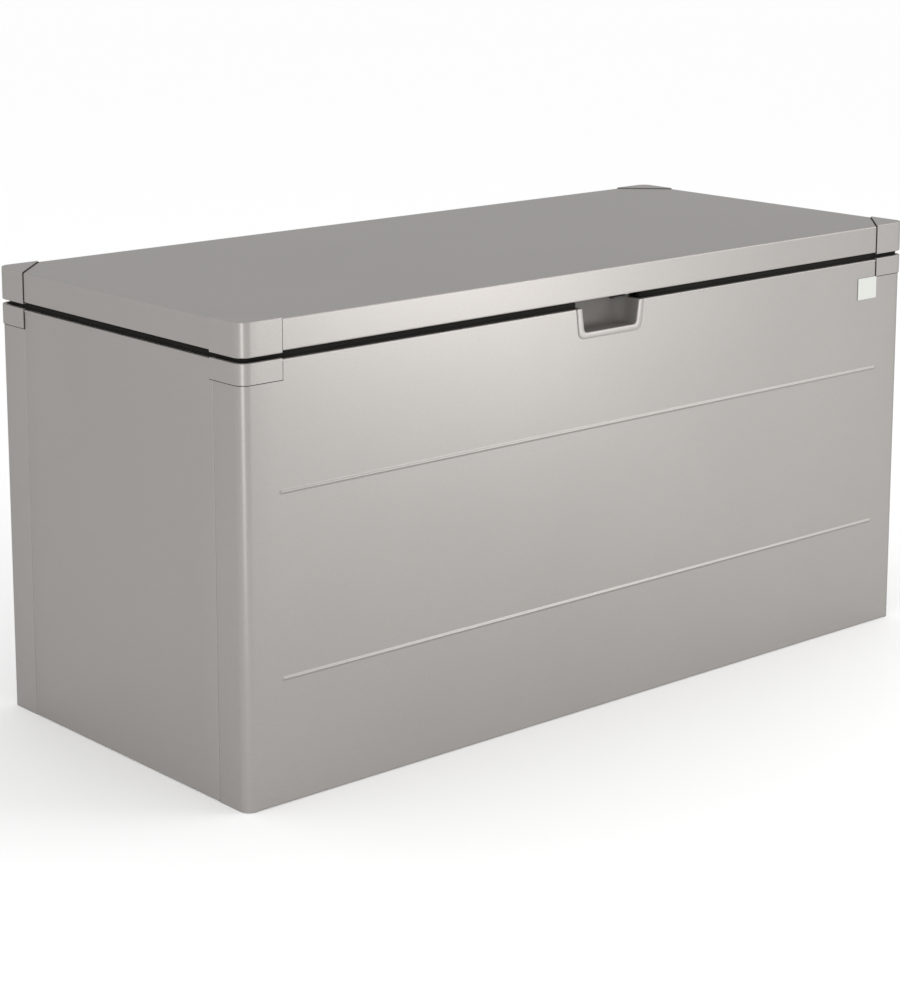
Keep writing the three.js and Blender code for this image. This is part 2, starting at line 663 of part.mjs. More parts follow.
// ---- Lock: a barrel through the lid's front flange, its cam swinging under a striker behind the cup ----
const collarLow = 648.9;
const bore = LOCK.plug + GAP;
const plugLow = 643.6;
node(
  "lock_housing",
  turned(
    [
      [bore, collarLow],
      [LOCK.collar, collarLow],
      [LOCK.collar, LID_EDGE - GAP],
      [LOCK.barrel, LID_EDGE - GAP],
      [LOCK.barrel, 676],
      [bore, 676],
      [bore, collarLow],
    ],
    LOCK.x,
    lockY,
  ),
  chrome(),
);
const keyway = block(LOCK.x - 3.5, LOCK.x + 3.5, lockY - 0.8, lockY + 0.8, plugLow - 3, plugLow + 4.5);
const plug = turned(
  [
    [0, plugLow],
    [LOCK.plug, plugLow],
    [LOCK.plug, 678],
    [0, 678],
  ],
  LOCK.x,
  lockY,
);
node("lock_plug", plug.subtract(keyway), chrome());
const camHub = turned(
  [
    [bore, LOCK.camLow],
    [bore + 2.5, LOCK.camLow],
    [bore + 2.5, LOCK.camHigh],
    [bore, LOCK.camHigh],
    [bore, LOCK.camLow],
  ],
  LOCK.x,
  lockY,
);
const camHalf = 5.5;
const camArm = block(
  LOCK.x - LOCK.reach,
  LOCK.x - bore - 0.9,
  lockY - camHalf,
  lockY + camHalf,
  LOCK.camLow,
  LOCK.camHigh,
);
node("lock_cam", camHub.add(camArm), zincSteel());
const [strikerLeft, strikerRight] = [LOCK.x - STRIKER.half, LOCK.x + STRIKER.half];
node(
  "lock_striker",
  union(
    fromEnd(-1, strikerLeft, strikerRight, STRIKER.web, STRIKER.back, STRIKER.low, STRIKER.top),
    fromEnd(-1, strikerLeft, strikerRight, STRIKER.tongueIn, STRIKER.back, STRIKER.under, STRIKER.top),
  ),
  zincSteel(),
);

export default box;
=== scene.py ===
"""Finish and fine shapes of a sheet-steel deck storage box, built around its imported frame."""

import json
import math

import bpy
import numpy as np
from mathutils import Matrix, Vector


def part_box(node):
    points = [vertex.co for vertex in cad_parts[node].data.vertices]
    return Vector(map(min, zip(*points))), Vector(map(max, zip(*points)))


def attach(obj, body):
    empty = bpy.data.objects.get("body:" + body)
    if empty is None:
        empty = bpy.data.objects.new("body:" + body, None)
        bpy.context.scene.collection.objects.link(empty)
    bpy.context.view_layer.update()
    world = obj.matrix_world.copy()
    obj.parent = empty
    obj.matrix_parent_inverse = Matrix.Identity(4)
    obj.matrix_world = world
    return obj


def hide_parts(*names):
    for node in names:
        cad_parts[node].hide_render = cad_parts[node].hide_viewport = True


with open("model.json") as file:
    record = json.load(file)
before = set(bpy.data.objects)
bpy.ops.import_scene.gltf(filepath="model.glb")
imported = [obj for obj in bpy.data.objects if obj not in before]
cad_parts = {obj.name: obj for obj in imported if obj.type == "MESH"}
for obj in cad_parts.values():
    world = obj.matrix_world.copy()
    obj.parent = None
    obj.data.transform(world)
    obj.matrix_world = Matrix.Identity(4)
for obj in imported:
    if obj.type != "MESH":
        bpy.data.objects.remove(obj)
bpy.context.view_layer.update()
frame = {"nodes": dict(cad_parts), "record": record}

MM = 0.001


# ---- Sizes, in millimetres, read from the frame ----
def box_mm(node):
    """The low and the high corner of a node's box."""
    low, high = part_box(node)
    return np.array(low) / MM, np.array(high) / MM


lid_low, lid_high = box_mm("lid_panel")
HALF_W, HALF_D = lid_high[0], lid_high[1]
LID_EDGE, LID_TOP = lid_low[2], lid_high[2]
BODY_TOP = box_mm("front_panel")[1][2]
FRONT_SEAM = box_mm("front_panel")[1][1]
REAR_SEAM = box_mm("rear_panel")[0][1]
SIDE_FRONT, SIDE_REAR = (corner[1] for corner in box_mm("side_panel_left"))
CAP_PROUD = box_mm("lid_cap_front_right")[1][0] - HALF_W
BODY_CAP_LOW, BODY_CAP_HIGH = (corner[2] for corner in box_mm("body_cap_front_left"))
LID_CAP_LOW = box_mm("lid_cap_front_left")[0][2]

CORNER = 17.0  # radius of the upright corners
STRAIGHT = HALF_W - CORNER  # half of the flat part of the front
SHEET = 1.0
SHEET_EDGE = 0.25  # rounding of a cut edge of the sheet
CAP_LEG = 70.0
CAP_WALL = 1.3
CAP_LIP = 6.0
CAP_SOFT = 1.2  # rounding of a cap's edges
FLANGE = {"front": 50.0, "side": 22.0, "rear": 38.0, "bottom": 18.0}
LID_FLANGE = {"front": 22.0, "side": 20.0, "rear": 40.0}
FOLD = 1.5  # bend radius of the body's folds
LID_FOLD = 2.4  # bend radius of the lid's top edge
HEM = 1.0  # the folded stretches stand this much off the ground
SEAM_FLANGE = 12.0  # the upright edges of the body's sheets are turned in this far
SEAM_FOLD = 1.2
BEADS = (184.5, 453.5)  # heights of the pressed beads
BEAD_END = 634.0
BEAD_HALF = 3.6
BEAD_PROUD = 1.6


# ---- Mesh building ----
class Shell:
    """Grids and flat outlines, gathered and welded into one mesh. Points are in millimetres."""

    def __init__(self):
        self.points = []
        self.faces = []
        self.count = 0

    def add(self, points, faces):
        self.points.append(np.asarray(points, float).reshape(-1, 3))
        self.faces.extend((np.asarray(f) + self.count).tolist() for f in faces)
        self.count += len(self.points[-1])

    def grid(self, points, keep=None, closed=False, flip=False):
        """A sheet of quads over points[row, column]; its normal is along columns by along rows."""
        rows, columns = points.shape[:2]
        index = np.arange(rows * columns).reshape(rows, columns)
        if closed:
            index = np.hstack([index, index[:, :1]])
        quads = np.stack([index[:-1, :-1], index[:-1, 1:], index[1:, 1:], index[1:, :-1]], -1)
        quads = quads[..., ::-1] if flip else quads
        self.add(points, quads[keep] if keep is not None else quads.reshape(-1, 4))

    def outline(self, ring, flip=False):
        """One flat face round a ring of points."""
        order = np.arange(len(ring))
        self.add(ring, [order[::-1] if flip else order])

    def mesh(self, name):
        """Points within a hundredth of a millimetre become one; empty faces and spare points go."""
        points = np.concatenate(self.points)
        rounded = np.round(points, 2)
        _, first, same = np.unique(rounded, axis=0, return_index=True, return_inverse=True)
        same = same.reshape(-1)
        faces = []
        for face in self.faces:
            ring = [same[i] for i in face]
            ring = [p for p, q in zip(ring, ring[-1:] + ring[:-1]) if p != q]
            if len(set(ring)) > 2:
                faces.append([int(p) for p in ring])
        used, corners = np.unique(np.concatenate(faces), return_inverse=True)
        ends = np.cumsum([len(face) for face in faces])[:-1]
        faces = [face.tolist() for face in np.split(corners.reshape(-1), ends)]
        data = bpy.data.meshes.new(name)
        data.from_pydata((points[first][used] * MM).tolist(), [], faces)
        data.polygons.foreach_set("use_smooth", [True] * len(faces))
        data.update()
        return data


def piece(name, shell, finish, body, replaces=(), wall=0.0, edge=0.0, angle=38, segments=2):
    """A finished piece: wall is the sheet's thickness inwards, and edge rounds folds over angle."""
    data = shell.mesh(name)
    made = bpy.data.objects.new(name, data)
    bpy.context.scene.collection.objects.link(made)
    if wall:
        solidify = made.modifiers.new("thickness", "SOLIDIFY")
        solidify.thickness = wall * MM
        solidify.offset = -1
        solidify.use_even_offset = True
    if edge:
        bevel = made.modifiers.new("edge", "BEVEL")
        bevel.width = edge * MM
        bevel.segments = segments
        bevel.limit_method = "ANGLE"
        bevel.angle_limit = math.radians(angle)
        bevel.harden_normals = True
    slot, material = finish
    data.materials.append(material)
    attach(made, body)
    if replaces:
        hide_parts(*replaces)
    return made


def spread(*spans):
    """Sorted places from (start, end, step) spans, with near doubles dropped."""
    counts = [max(2, round(abs(end - start) / step) + 1) for start, end, step in spans]
    places = np.concatenate([np.linspace(*span[:2], count) for span, count in zip(spans, counts)])
    places = np.unique(np.round(places, 3))
    return places[np.insert(np.diff(places) > 0.05, 0, True)]


def rounded_path(corners, radii, steps=6, cuts=1):
    """A polyline whose corners are arcs of the given radii; each straight is divided into cuts."""
    corners = [np.array(c, float) for c in corners]
    pieces = [corners[0][None]]
    for before, corner, after, radius in zip(corners, corners[1:], corners[2:], radii):
        back, on = before - corner, after - corner
        back, on = back / np.linalg.norm(back), on / np.linalg.norm(on)
        half = math.acos(np.clip(back @ on, -1, 1)) / 2
        reach = radius / math.tan(half)
        middle = corner + (back + on) / np.linalg.norm(back + on) * radius / math.sin(half)
        start, end = corner + back * reach - middle, corner + on * reach - middle
        turn = np.linspace(0, 1, steps + 1)[:, None]
        whole = math.pi - 2 * half
        arc = (start * np.sin((1 - turn) * whole) + end * np.sin(turn * whole)) / math.sin(whole)
        pieces.append(middle + arc)
    pieces.append(corners[-1][None])
    joined = [pieces[0]]
    for part in pieces[1:]:
        gap = part[0] - joined[-1][-1]
        joined.append(joined[-1][-1] + gap * np.linspace(0, 1, cuts + 1)[1:-1, None])
        joined.append(part)
    return np.concatenate(joined)


def with_height(path, height):
    """A plan path at one height."""
    return np.column_stack([path, np.full(len(path), height)])


def ring_path(insets, radius, steps=10, cuts=12):
    """The plan outline drawn in by (side, front, rear) insets, anticlockwise from above, closed."""
    side, front, rear = insets
    x, low, high = HALF_W - side, front - HALF_D, HALF_D - rear
    corners = [(0, low), (x, low), (x, high), (-x, high), (-x, low), (0, low)]
    return rounded_path(corners, [max(radius, 0.2)] * 4, steps, cuts)[:-1]


def fold(radius, steps=4):
    """Quarter turn as (inwards, along) pairs from 0, 0 to radius, radius."""
    turn = np.linspace(0, math.pi / 2, steps + 1)
    return np.column_stack([radius * (1 - np.cos(turn)), radius * np.sin(turn)])


# ---- Finishes ----
class Value:
    """A number, colour or vector in a material; + and * on numbers add Math nodes."""

    def __init__(self, paint, socket):
        self.paint = paint
        self.socket = socket

    def _math(self, operation, a, b):
        return self.paint.node("ShaderNodeMath", {"operation": operation}, {0: a, 1: b})

    def __add__(self, other):
        return self._math("ADD", self, other)

    def __mul__(self, other):
        return self._math("MULTIPLY", self, other)

    __radd__ = __add__
    __rmul__ = __mul__


class Paint:
    """One material: a Principled shader and the nodes that feed it."""

    def __init__(self, name, **constants):
        self.material = bpy.data.materials.new(name)
        self.material.use_nodes = True
        self.tree = self.material.node_tree
        self.shader = next(n for n in self.tree.nodes if n.type == "BSDF_PRINCIPLED")
        for key, value in constants.items():
            self.shader.inputs[key.replace("_", " ")].default_value = value
        self.place = self.node("ShaderNodeTexCoord", out="Object")

    def node(self, kind, settings=None, inputs=None, out=0):
        """Adds a node, sets it up, feeds its sockets numbers or Values, and gives one output."""
        made = self.tree.nodes.new(kind)
        for key, value in (settings or {}).items():
            if key == "stops":
                for stop, (position, colour) in zip(made.color_ramp.elements, value):
                    stop.position = position
                    stop.color = colour
            else:
                setattr(made, key, value)
        for key, value in (inputs or {}).items():
            if isinstance(value, Value):
                self.tree.links.new(value.socket, made.inputs[key])
            else:
                made.inputs[key].default_value = value
        return Value(self, made.outputs[out])

    def noise(self, scale, detail=2.0, roughness=0.5, stretch=None):
        """Soft noise from 0 to 1; scale is in cells to the metre."""
        place = self.place
        if stretch:
            place = self.node("ShaderNodeMapping", None, {"Vector": place, "Scale": stretch})
        sizes = {"Vector": place, "Scale": scale, "Detail": detail, "Roughness": roughness}
        return self.node("ShaderNodeTexNoise", None, sizes)

    def cells(self, scale):
        """A random value from 0 to 1 in each small cell."""
        sizes = {"Vector": self.place, "Scale": scale}
        colour = self.node("ShaderNodeTexVoronoi", None, sizes, "Color")
        return self.node("ShaderNodeSeparateColor", None, {"Color": colour})

    def colour(self, share, low, high):
        """Colour between low and high by share."""
        stops = [(0.0, (*low, 1)), (1.0, (*high, 1))]
        return self.node("ShaderNodeValToRGB", {"stops": stops}, {"Fac": share})

    def feed(self, name, value):
        self.tree.links.new(value.socket, self.shader.inputs[name])

    def relief(self, height, depth, strength=1.0):
        """Height from 0 to 1 raises the surface by depth, in metres."""
        sizes = {"Height": height, "Distance": depth, "Strength": strength}
        self.feed("Normal", self.node("ShaderNodeBump", None, sizes))


def around(colour, share):
    """The colour darkened and lightened by a share of itself."""
    return [tuple(channel * factor for channel in colour) for factor in (1 - share, 1 + share)]


GREY = (0.33, 0.314, 0.301)
GREY_SHINE = {"Specular_IOR_Level": 0.12, "Specular_Tint": (0.45, 0.45, 0.45, 1)}


def powder_coat():
    """Warm grey metallic powder coat: a fine cast grain, tiny flakes and faint clouding."""
    paint = Paint("powder_coat", Metallic=0.58, **GREY_SHINE)
    clouds = paint.noise(3.5, 3.0)
    flakes = paint.cells(1500.0)
    grain = paint.noise(650.0, 3.0, 0.6)
    shade = clouds * 0.35 + flakes * 0.4 + grain * 0.25
    paint.feed("Base Color", paint.colour(shade, *around(GREY, 0.12)))
    paint.feed("Roughness", 0.3 + grain * 0.06 + flakes * 0.04)
    peel = paint.noise(260.0, 1.0)
    paint.relief(grain * 0.6 + peel * 0.4, 0.00007, 0.6)
    return "powder_coat", paint.material


def cap_coat():
    """The same colour on moulded caps, a little smoother and less metallic."""
    paint = Paint("cap_coat", Metallic=0.55, **GREY_SHINE)
    flakes = paint.cells(1400.0)
    grain = paint.noise(500.0, 3.0, 0.6)
    paint.feed("Base Color", paint.colour(flakes * 0.6 + grain * 0.4, *around(GREY, 0.1)))
    paint.feed("Roughness", 0.31 + grain * 0.08)
    paint.relief(grain, 0.00005, 0.5)
    return "powder_coat", paint.material


def cup_plastic():
    """Dark taupe moulded plastic with a fine spark-eroded grain; its colour is darkened further as
    painted shade of the recess under the lid.
    """
    paint = Paint("cup_plastic", Metallic=0.0, Specular_IOR_Level=0.4)
    grain = paint.noise(900.0, 3.0, 0.7)
    clouds = paint.noise(20.0)
    shade = grain * 0.7 + clouds * 0.3
    # the base colour is darker than the rim's as painted shade of the recess; the clouds vary it at
    # random
    paint.feed("Base Color", paint.colour(shade, *around((0.165, 0.155, 0.142), 0.4)))
    paint.feed("Roughness", 0.5 + grain * 0.15)
    paint.relief(grain, 0.0001, 0.6)
    return "cup_plastic", paint.material


def black_steel():
    """Satin black paint over folded steel, slightly orange-peeled."""
    paint = Paint("black_steel", Metallic=0.1, Specular_IOR_Level=0.4)
    peel = paint.noise(320.0, 2.0)
    dust = paint.noise(14.0, 4.0)
    paint.feed("Base Color", paint.colour(dust, (0.012, 0.011, 0.01), (0.026, 0.024, 0.022)))
    paint.feed("Roughness", 0.42 + peel * 0.15)
    paint.relief(peel, 0.0001, 0.5)
    return "black_steel", paint.material


def zinc_steel():
    """Bright zinc plate with a faint rolled streak and cloudy spangle."""
    paint = Paint("zinc_steel", Metallic=1.0)
    streak = paint.noise(60.0, 4.0, 0.6, stretch=(12.0, 1.0, 1.0))
    spangle = paint.cells(220.0)
    shade = streak * 0.6 + spangle * 0.4
    paint.feed("Base Color", paint.colour(shade, (0.5, 0.51, 0.52), (0.68, 0.69, 0.7)))
    paint.feed("Roughness", 0.26 + streak * 0.18)
    paint.relief(streak, 0.00003, 0.4)
    return "zinc_steel", paint.material


def bare_aluminium():
    """Pale brushed aluminium, the brushing running across."""
    paint = Paint("bare_aluminium", Metallic=0.2, Specular_IOR_Level=0.2)
    brush = paint.noise(90.0, 5.0, 0.7, stretch=(1.0, 30.0, 30.0))
    paint.feed("Base Color", paint.colour(brush, (0.5, 0.51, 0.48), (0.56, 0.57, 0.54)))
    paint.feed("Roughness", 0.38 + brush * 0.12)
    paint.relief(brush, 0.00002, 0.4)
    return "bare_aluminium", paint.material


def seal_rubber():
    """Black foamed rubber with a closed skin and fine pores."""
    paint = Paint("seal_rubber", Metallic=0.0, Specular_IOR_Level=0.12)
    pores = paint.noise(1300.0, 3.0, 0.7)
    bloom = paint.noise(18.0, 3.0)
    paint.feed("Base Color", paint.colour(bloom, (0.006, 0.006, 0.005), (0.014, 0.013, 0.012)))
    paint.feed("Roughness", 0.75 + pores * 0.2)
    paint.relief(pores, 0.0001, 0.7)
    return "seal_rubber", paint.material


def chrome_plate():
    """Polished chrome with hair-fine turning marks."""
    paint = Paint("chrome_plate", Metallic=1.0)
    marks = paint.noise(700.0, 2.0)
    paint.feed("Base Color", paint.colour(marks, (0.7, 0.71, 0.72), (0.78, 0.79, 0.8)))
    paint.feed("Roughness", 0.07 + marks * 0.08)
    return "chrome_plate", paint.material


def black_plastic():
    """Satin black moulded plastic."""
    paint = Paint("black_plastic", Metallic=0.0, Specular_IOR_Level=0.45)
    grain = paint.noise(800.0, 2.0)
    paint.feed("Base Color", paint.colour(grain, (0.018, 0.018, 0.018), (0.03, 0.03, 0.03)))
    paint.feed("Roughness", 0.35 + grain * 0.15)
    paint.relief(grain, 0.00006, 0.5)
    return "black_plastic", paint.material


COAT = powder_coat()
CAP = cap_coat()
# The cup's finish carries painted shade of the recess; the rim, part of the same moulding, keeps
# the caps' colour.
SHADED_CUP = cup_plastic()
RIM = (SHADED_CUP[0], CAP[1])  # the rim is part of the cup and has the caps' colour
BLACK = black_steel()
ZINC = zinc_steel()
PALE = bare_aluminium()
RUBBER = seal_rubber()
CHROME = chrome_plate()
PLASTIC = black_plastic()


# ---- Folded body panels ----
def bead_height(x, z):
    """Raised cosine across each bead's centreline, which is a straight line with round ends."""
    past = np.maximum(np.abs(x) - BEAD_END, 0)
    height = np.zeros(np.broadcast(x, z).shape)
    for middle in BEADS:
        away = np.hypot(past, z - middle)
        bump = BEAD_PROUD * 0.5 * (1 + np.cos(math.pi * np.minimum(away / BEAD_HALF, 1)))
        height = np.maximum(height, bump)
    return height


def flange_strip(shell, line, inwards, folded, width, start, sign, flip=False, keep=None):
    """A fold from the wall at height start, then a flat flange: line moved inwards, up or down."""
    profile = np.vstack([folded, [width, folded[-1][1]]])
    rows = [with_height(line + np.array(inwards) * n, start + sign * rise) for n, rise in profile]
    shell.grid(np.array(rows), keep, flip=flip)


GRIP_LOW = box_mm("grip_cup")[0][2]
GRIP_TOP_HALF = box_mm("grip_cup")[1][0]
GRIP_MOUTH = GRIP_LOW + 9.6  # the bottom of the mouth, inside the rim
GRIP_INSET = 11.4  # from the rim's outline to the mouth, at the sides
GRIP_LOW_HALF = 66.5  # half width of the rim's outline at its foot
GRIP_ROUND, RIM_ROUND = 6.0, 12.0  # corner radii of the mouth and of the rim
GRIP_DEPTH = 42.0
GRIP_SLOPE = (GRIP_TOP_HALF - GRIP_LOW_HALF) / (BODY_TOP - GRIP_MOUTH)
HOLE_PAST, HOLE_DROP = 5.0, 5.1  # the sheet's hole is this much larger than the mouth
TOP_HOLE_HALF = 66.0  # half width of the gap in the sheet's top flange
GRIP_FIELD_HALF, GRIP_FIELD_LOW = 74.0, 586.0  # the finer mesh round the hole


def grip_half(z):
    """Half width of the recess's mouth at a height."""
    return GRIP_LOW_HALF - GRIP_INSET + GRIP_SLOPE * (z - GRIP_MOUTH)


def end_sheet(name, sign, seam, flange, node, with_grip):
    """Front (sign -1) or rear (sign 1) panel: one sheet carried up along a plan path that goes
    round both corners and turns in at the seams; the beads push its face outwards."""
    shell = Shell()
    end = sign * HALF_D
    corners = [(-HALF_W + SEAM_FLANGE, seam), (-HALF_W, seam), (-HALF_W, end),
               (HALF_W, end), (HALF_W, seam), (HALF_W - SEAM_FLANGE, seam)]
    path = rounded_path(corners, [SEAM_FOLD, CORNER, CORNER, SEAM_FOLD], 10)
    fine = [(-GRIP_FIELD_HALF, GRIP_FIELD_HALF, 2.0)] if with_grip else []
    across = spread((-STRAIGHT, STRAIGHT, 40.0), (-BEAD_END - 8, -BEAD_END + 4, 1.0),
                    (BEAD_END - 4, BEAD_END + 8, 1.0), *fine)
    left = path[path[:, 0] < -STRAIGHT + 1e-3]
    right = path[path[:, 0] > STRAIGHT - 1e-3]
    line = np.column_stack([across, np.full(len(across), end)])
    plan = np.concatenate([left, line[1:-1], right])
    first, last = len(left) - 1, len(left) + len(across) - 2
    low, high = HEM + FOLD, BODY_TOP - FOLD
    rows = spread((low, high, 40.0), (low, low + 2, 1.0), (high - 2, high, 1.0),
                  *[(z - 5, z + 5, 0.4) for z in BEADS],
                  *([(GRIP_FIELD_LOW, high, 2.0)] if with_grip else []))
    points = np.zeros((len(rows), len(plan), 3))
    points[..., 0], points[..., 1] = plan[:, 0], plan[:, 1]
    points[..., 2] = rows[:, None]
    on_face = np.zeros(len(plan), bool)
    on_face[first : last + 1] = True
    points[..., 1] += np.where(on_face, sign * bead_height(plan[None, :, 0], rows[:, None]), 0)
    keep = np.ones((len(rows) - 1, len(plan) - 1), bool)
    face_keep = np.ones(len(line) - 1, bool)
    if with_grip:
        x = np.abs((plan[:-1, 0] + plan[1:, 0]) / 2)[None]
        z = ((rows[:-1] + rows[1:]) / 2)[:, None]
        hole = (x < grip_half(z) + HOLE_PAST) & (z > GRIP_MOUTH - HOLE_DROP)
        keep &= ~(hole & on_face[None, :-1])
        face_keep = np.abs((across[:-1] + across[1:]) / 2) > TOP_HOLE_HALF
    flip = sign > 0
    shell.grid(points, keep, flip=flip)
    arc = fold(FOLD)
    inwards = (0, -sign)
    keep_top = np.broadcast_to(face_keep, (len(arc), len(line) - 1))
    flange_strip(shell, line, inwards, arc, flange, high, 1, flip, keep_top)
    flange_strip(shell, line, inwards, arc, FLANGE["bottom"], low, -1, not flip)
    for part in (plan[: first + 1], plan[last:]):
        top = np.array([with_height(part, high), with_height(part, BODY_TOP)])
        bottom = np.array([with_height(part, 0.0), with_height(part, low)])
        shell.grid(top, flip=flip)
        shell.grid(bottom, flip=flip)
    piece(name, shell, COAT, "box", [node], wall=SHEET, edge=SHEET_EDGE)


end_sheet("front_sheet", -1, FRONT_SEAM, FLANGE["front"], "front_panel", True)
end_sheet("rear_sheet", 1, REAR_SEAM, FLANGE["rear"], "rear_panel", False)


def side_sheet(side, sign):
    """Flat side panel, all four edges folded in."""
    shell = Shell()
    x = sign * HALF_W
    turned_in = x - sign * SEAM_FLANGE
    corners = [(turned_in, SIDE_FRONT), (x, SIDE_FRONT), (x, SIDE_REAR), (turned_in, SIDE_REAR)]
    path = rounded_path(corners, [SEAM_FOLD, SEAM_FOLD], 4, 12)
    low, high = HEM + FOLD, BODY_TOP - FOLD
    rows = spread((low, high, 60.0), (low, low + 2, 1.0), (high - 2, high, 1.0))
    flip = sign < 0
    shell.grid(np.array([with_height(path, z) for z in rows]), flip=flip)
    line = path[np.abs(path[:, 0] - x) < 1e-6]
    inwards = (-sign, 0)
    flange_strip(shell, line, inwards, fold(FOLD), FLANGE["side"], high, 1, flip)
    flange_strip(shell, line, inwards, fold(FOLD), FLANGE["bottom"], low, -1, not flip)
    nodes = ["side_panel_" + side]
    piece("side_sheet_" + side, shell, COAT, "box", nodes, wall=SHEET, edge=SHEET_EDGE)


SIDES = (("left", -1), ("right", 1))
for side, sign in SIDES:
    side_sheet(side, sign)


# ---- Lid ----
def lid_sheet():
    """Tray with folded skirts: rings of the plan outline go round each fold to one flat top."""
    shell = Shell()
    rings = []
    wide = np.array([LID_FLANGE["side"], LID_FLANGE["front"], LID_FLANGE["rear"]])
    rings.append((wide, CORNER / 2, LID_EDGE))
    for inwards, rise in fold(FOLD)[::-1]:
        rings.append((np.full(3, inwards), CORNER - inwards, LID_EDGE + FOLD - rise))
    for z in (LID_EDGE + FOLD + 1, LID_TOP - LID_FOLD - 1):
        rings.append((np.zeros(3), CORNER, z))
    for inwards, rise in fold(LID_FOLD, 6):
        rings.append((np.full(3, inwards), CORNER - inwards, LID_TOP - LID_FOLD + rise))
    flat = LID_FOLD + 1.5
    rings.append((np.full(3, flat), CORNER - flat, LID_TOP))
    loops = np.array([with_height(ring_path(*ring[:2]), ring[2]) for ring in rings])
    shell.grid(loops, closed=True)
    shell.outline(loops[-1])
    piece("lid_sheet", shell, COAT, "lid", ["lid_panel"], wall=SHEET, edge=SHEET_EDGE)


lid_sheet()


# ---- Corner caps ----
def cap_path(inwards, leg):
    """Plan of a cap's outer face in (in from the side, in from the end), drawn in by inwards."""
    out = inwards - CAP_PROUD
    return rounded_path([(leg, out), (out, out), (out, leg)], [CORNER + CAP_PROUD - inwards], 16, 4)


def corner_cap(name, profile, topped, body, nodes, sx, sy,
               finish=CAP, leg=CAP_LEG, wall=CAP_WALL, edge=0.6):
    """A profile of (inwards, height) carried round a corner; topped adds a triangular web."""
    shell = Shell()
    rows = []
    for inwards, z in profile:
        plan = [HALF_W, HALF_D] - cap_path(inwards, leg)
        rows.append(with_height(plan * [sx, sy], z))
    flip = sx * sy > 0
    shell.grid(np.array(rows), flip=flip)
    if topped:
        shell.outline(rows[-1], flip=flip)
    piece(name, shell, finish, body, nodes, wall=wall, edge=edge, segments=3)


def lid_cap_profile():
    """A lip under the wall, out round a fold, up the wall, and over the top edge."""
    low, high = LID_CAP_LOW, LID_TOP + CAP_PROUD
    arc = fold(CAP_SOFT)
    lower = [(CAP_LIP, low)] + [(n, low + CAP_SOFT - rise) for n, rise in arc[::-1]]
    wall = [(0.0, low + CAP_SOFT + 1), (0.0, high - CAP_SOFT - 1)]
    upper = [(n, high - CAP_SOFT + rise) for n, rise in arc]
    return lower + wall + upper + [(CAP_SOFT + 1, high)]


def body_cap_profile():
    """Up the wall, over the top edge, and a lip inwards."""
    upper = [(n, BODY_CAP_HIGH - CAP_SOFT + rise) for n, rise in fold(CAP_SOFT)]
    return [(0.0, BODY_CAP_LOW), (0.0, BODY_CAP_HIGH - 2)] + upper + [(CAP_LIP, BODY_CAP_HIGH)]


# A thin black strip under each cap shows just outside the cap's edge as painted shade: a dark line
# where shadow falls along the seam.
SHADE_STRIP_PROUD, SHADE_STRIP_SHOWS, SHADE_STRIP_BELOW = 0.28, 1.8, 1.3
lid_profile, body_profile = lid_cap_profile(), body_cap_profile()
under = CAP_PROUD - SHADE_STRIP_PROUD
over_lid = LID_TOP + SHADE_STRIP_PROUD - LID_FOLD
lid_shade_strip = [(under, LID_CAP_LOW + 3)]
lid_shade_strip += [(under + n, over_lid + rise) for n, rise in fold(LID_FOLD, 5)]
body_shade_strip = [(under, BODY_CAP_LOW - SHADE_STRIP_BELOW), (under, BODY_TOP - 3)]
shade_strip = {"finish": RUBBER, "leg": CAP_LEG + SHADE_STRIP_SHOWS, "wall": 0.2, "edge": 0.0}
for end, sy in (("front", -1), ("rear", 1)):
    for side, sx in SIDES:
        where = f"{end}_{side}"
        lid_node, body_node = ["lid_cap_" + where], ["body_cap_" + where]
        corner_cap("lid_corner_" + where, lid_profile, True, "lid", lid_node, sx, sy)
        corner_cap("body_corner_" + where, body_profile, False, "box", body_node, sx, sy)
        # painted shade: black strips round each cap's edges
        corner_cap("lid_shade_strip_" + where, lid_shade_strip, True, "lid", [], sx, sy, **shade_strip)
        corner_cap("body_shade_strip_" + where, body_shade_strip, False, "box", [], sx, sy, **shade_strip)


# ---- Grip cup ----
CUP_TOP = box_mm("grip_cup")[1][2]
CUP_SETBACK = 2.5  # the scoop starts this far behind the panel's face
LIP_HALF, LIP_DEEP, LIP_WALL = 67.0, 41.0, 0.5


def half_oval(power):
    """Half a superellipse of half width 1 and depth 1, as (across, deep); less power is squarer."""
    turn = np.linspace(0, math.pi, 49)
    return np.sign(np.cos(turn)) * np.abs(np.cos(turn)) ** power, np.sin(turn) ** power


def cup_row(level, wall_top):
    """Half a superellipse in plan at one level of the scoop. Its half width follows the mouth and
    shrinks by a quarter circle near the floor; its depth grows with height; the back of the wall
    stands higher than the front."""
    across, deep = half_oval(0.55)
    front_rise = LIP_WALL + BODY_TOP - GRIP_MOUTH
    back_rise = wall_top - BODY_TOP - LIP_WALL
    height = level * (front_rise + back_rise * np.clip((deep - 0.55) / 0.3, 0, 1) ** 2)
    drop = np.maximum(0, 1 - height / GRIP_ROUND)
    half = grip_half(GRIP_MOUTH + height) - GRIP_ROUND * (1 - np.sqrt(1 - drop**2))
    curve = np.sqrt(1 - (1 - np.minimum(1, height / 30)) ** 4)
    depth = GRIP_DEPTH * (0.68 + 0.32 * curve) - CUP_SETBACK
    plan = np.column_stack([-half * across, CUP_SETBACK - HALF_D + depth * deep])
    return np.column_stack([plan, GRIP_MOUTH + height])


def evenly(path, count):
    """The same line with its points spread evenly along it."""
    run = np.insert(np.cumsum(np.linalg.norm(np.diff(path, axis=0), axis=1)), 0, 0)
    at = np.linspace(0, run[-1], count)
    return np.column_stack([np.interp(at, run, path[:, k]) for k in range(path.shape[1])])


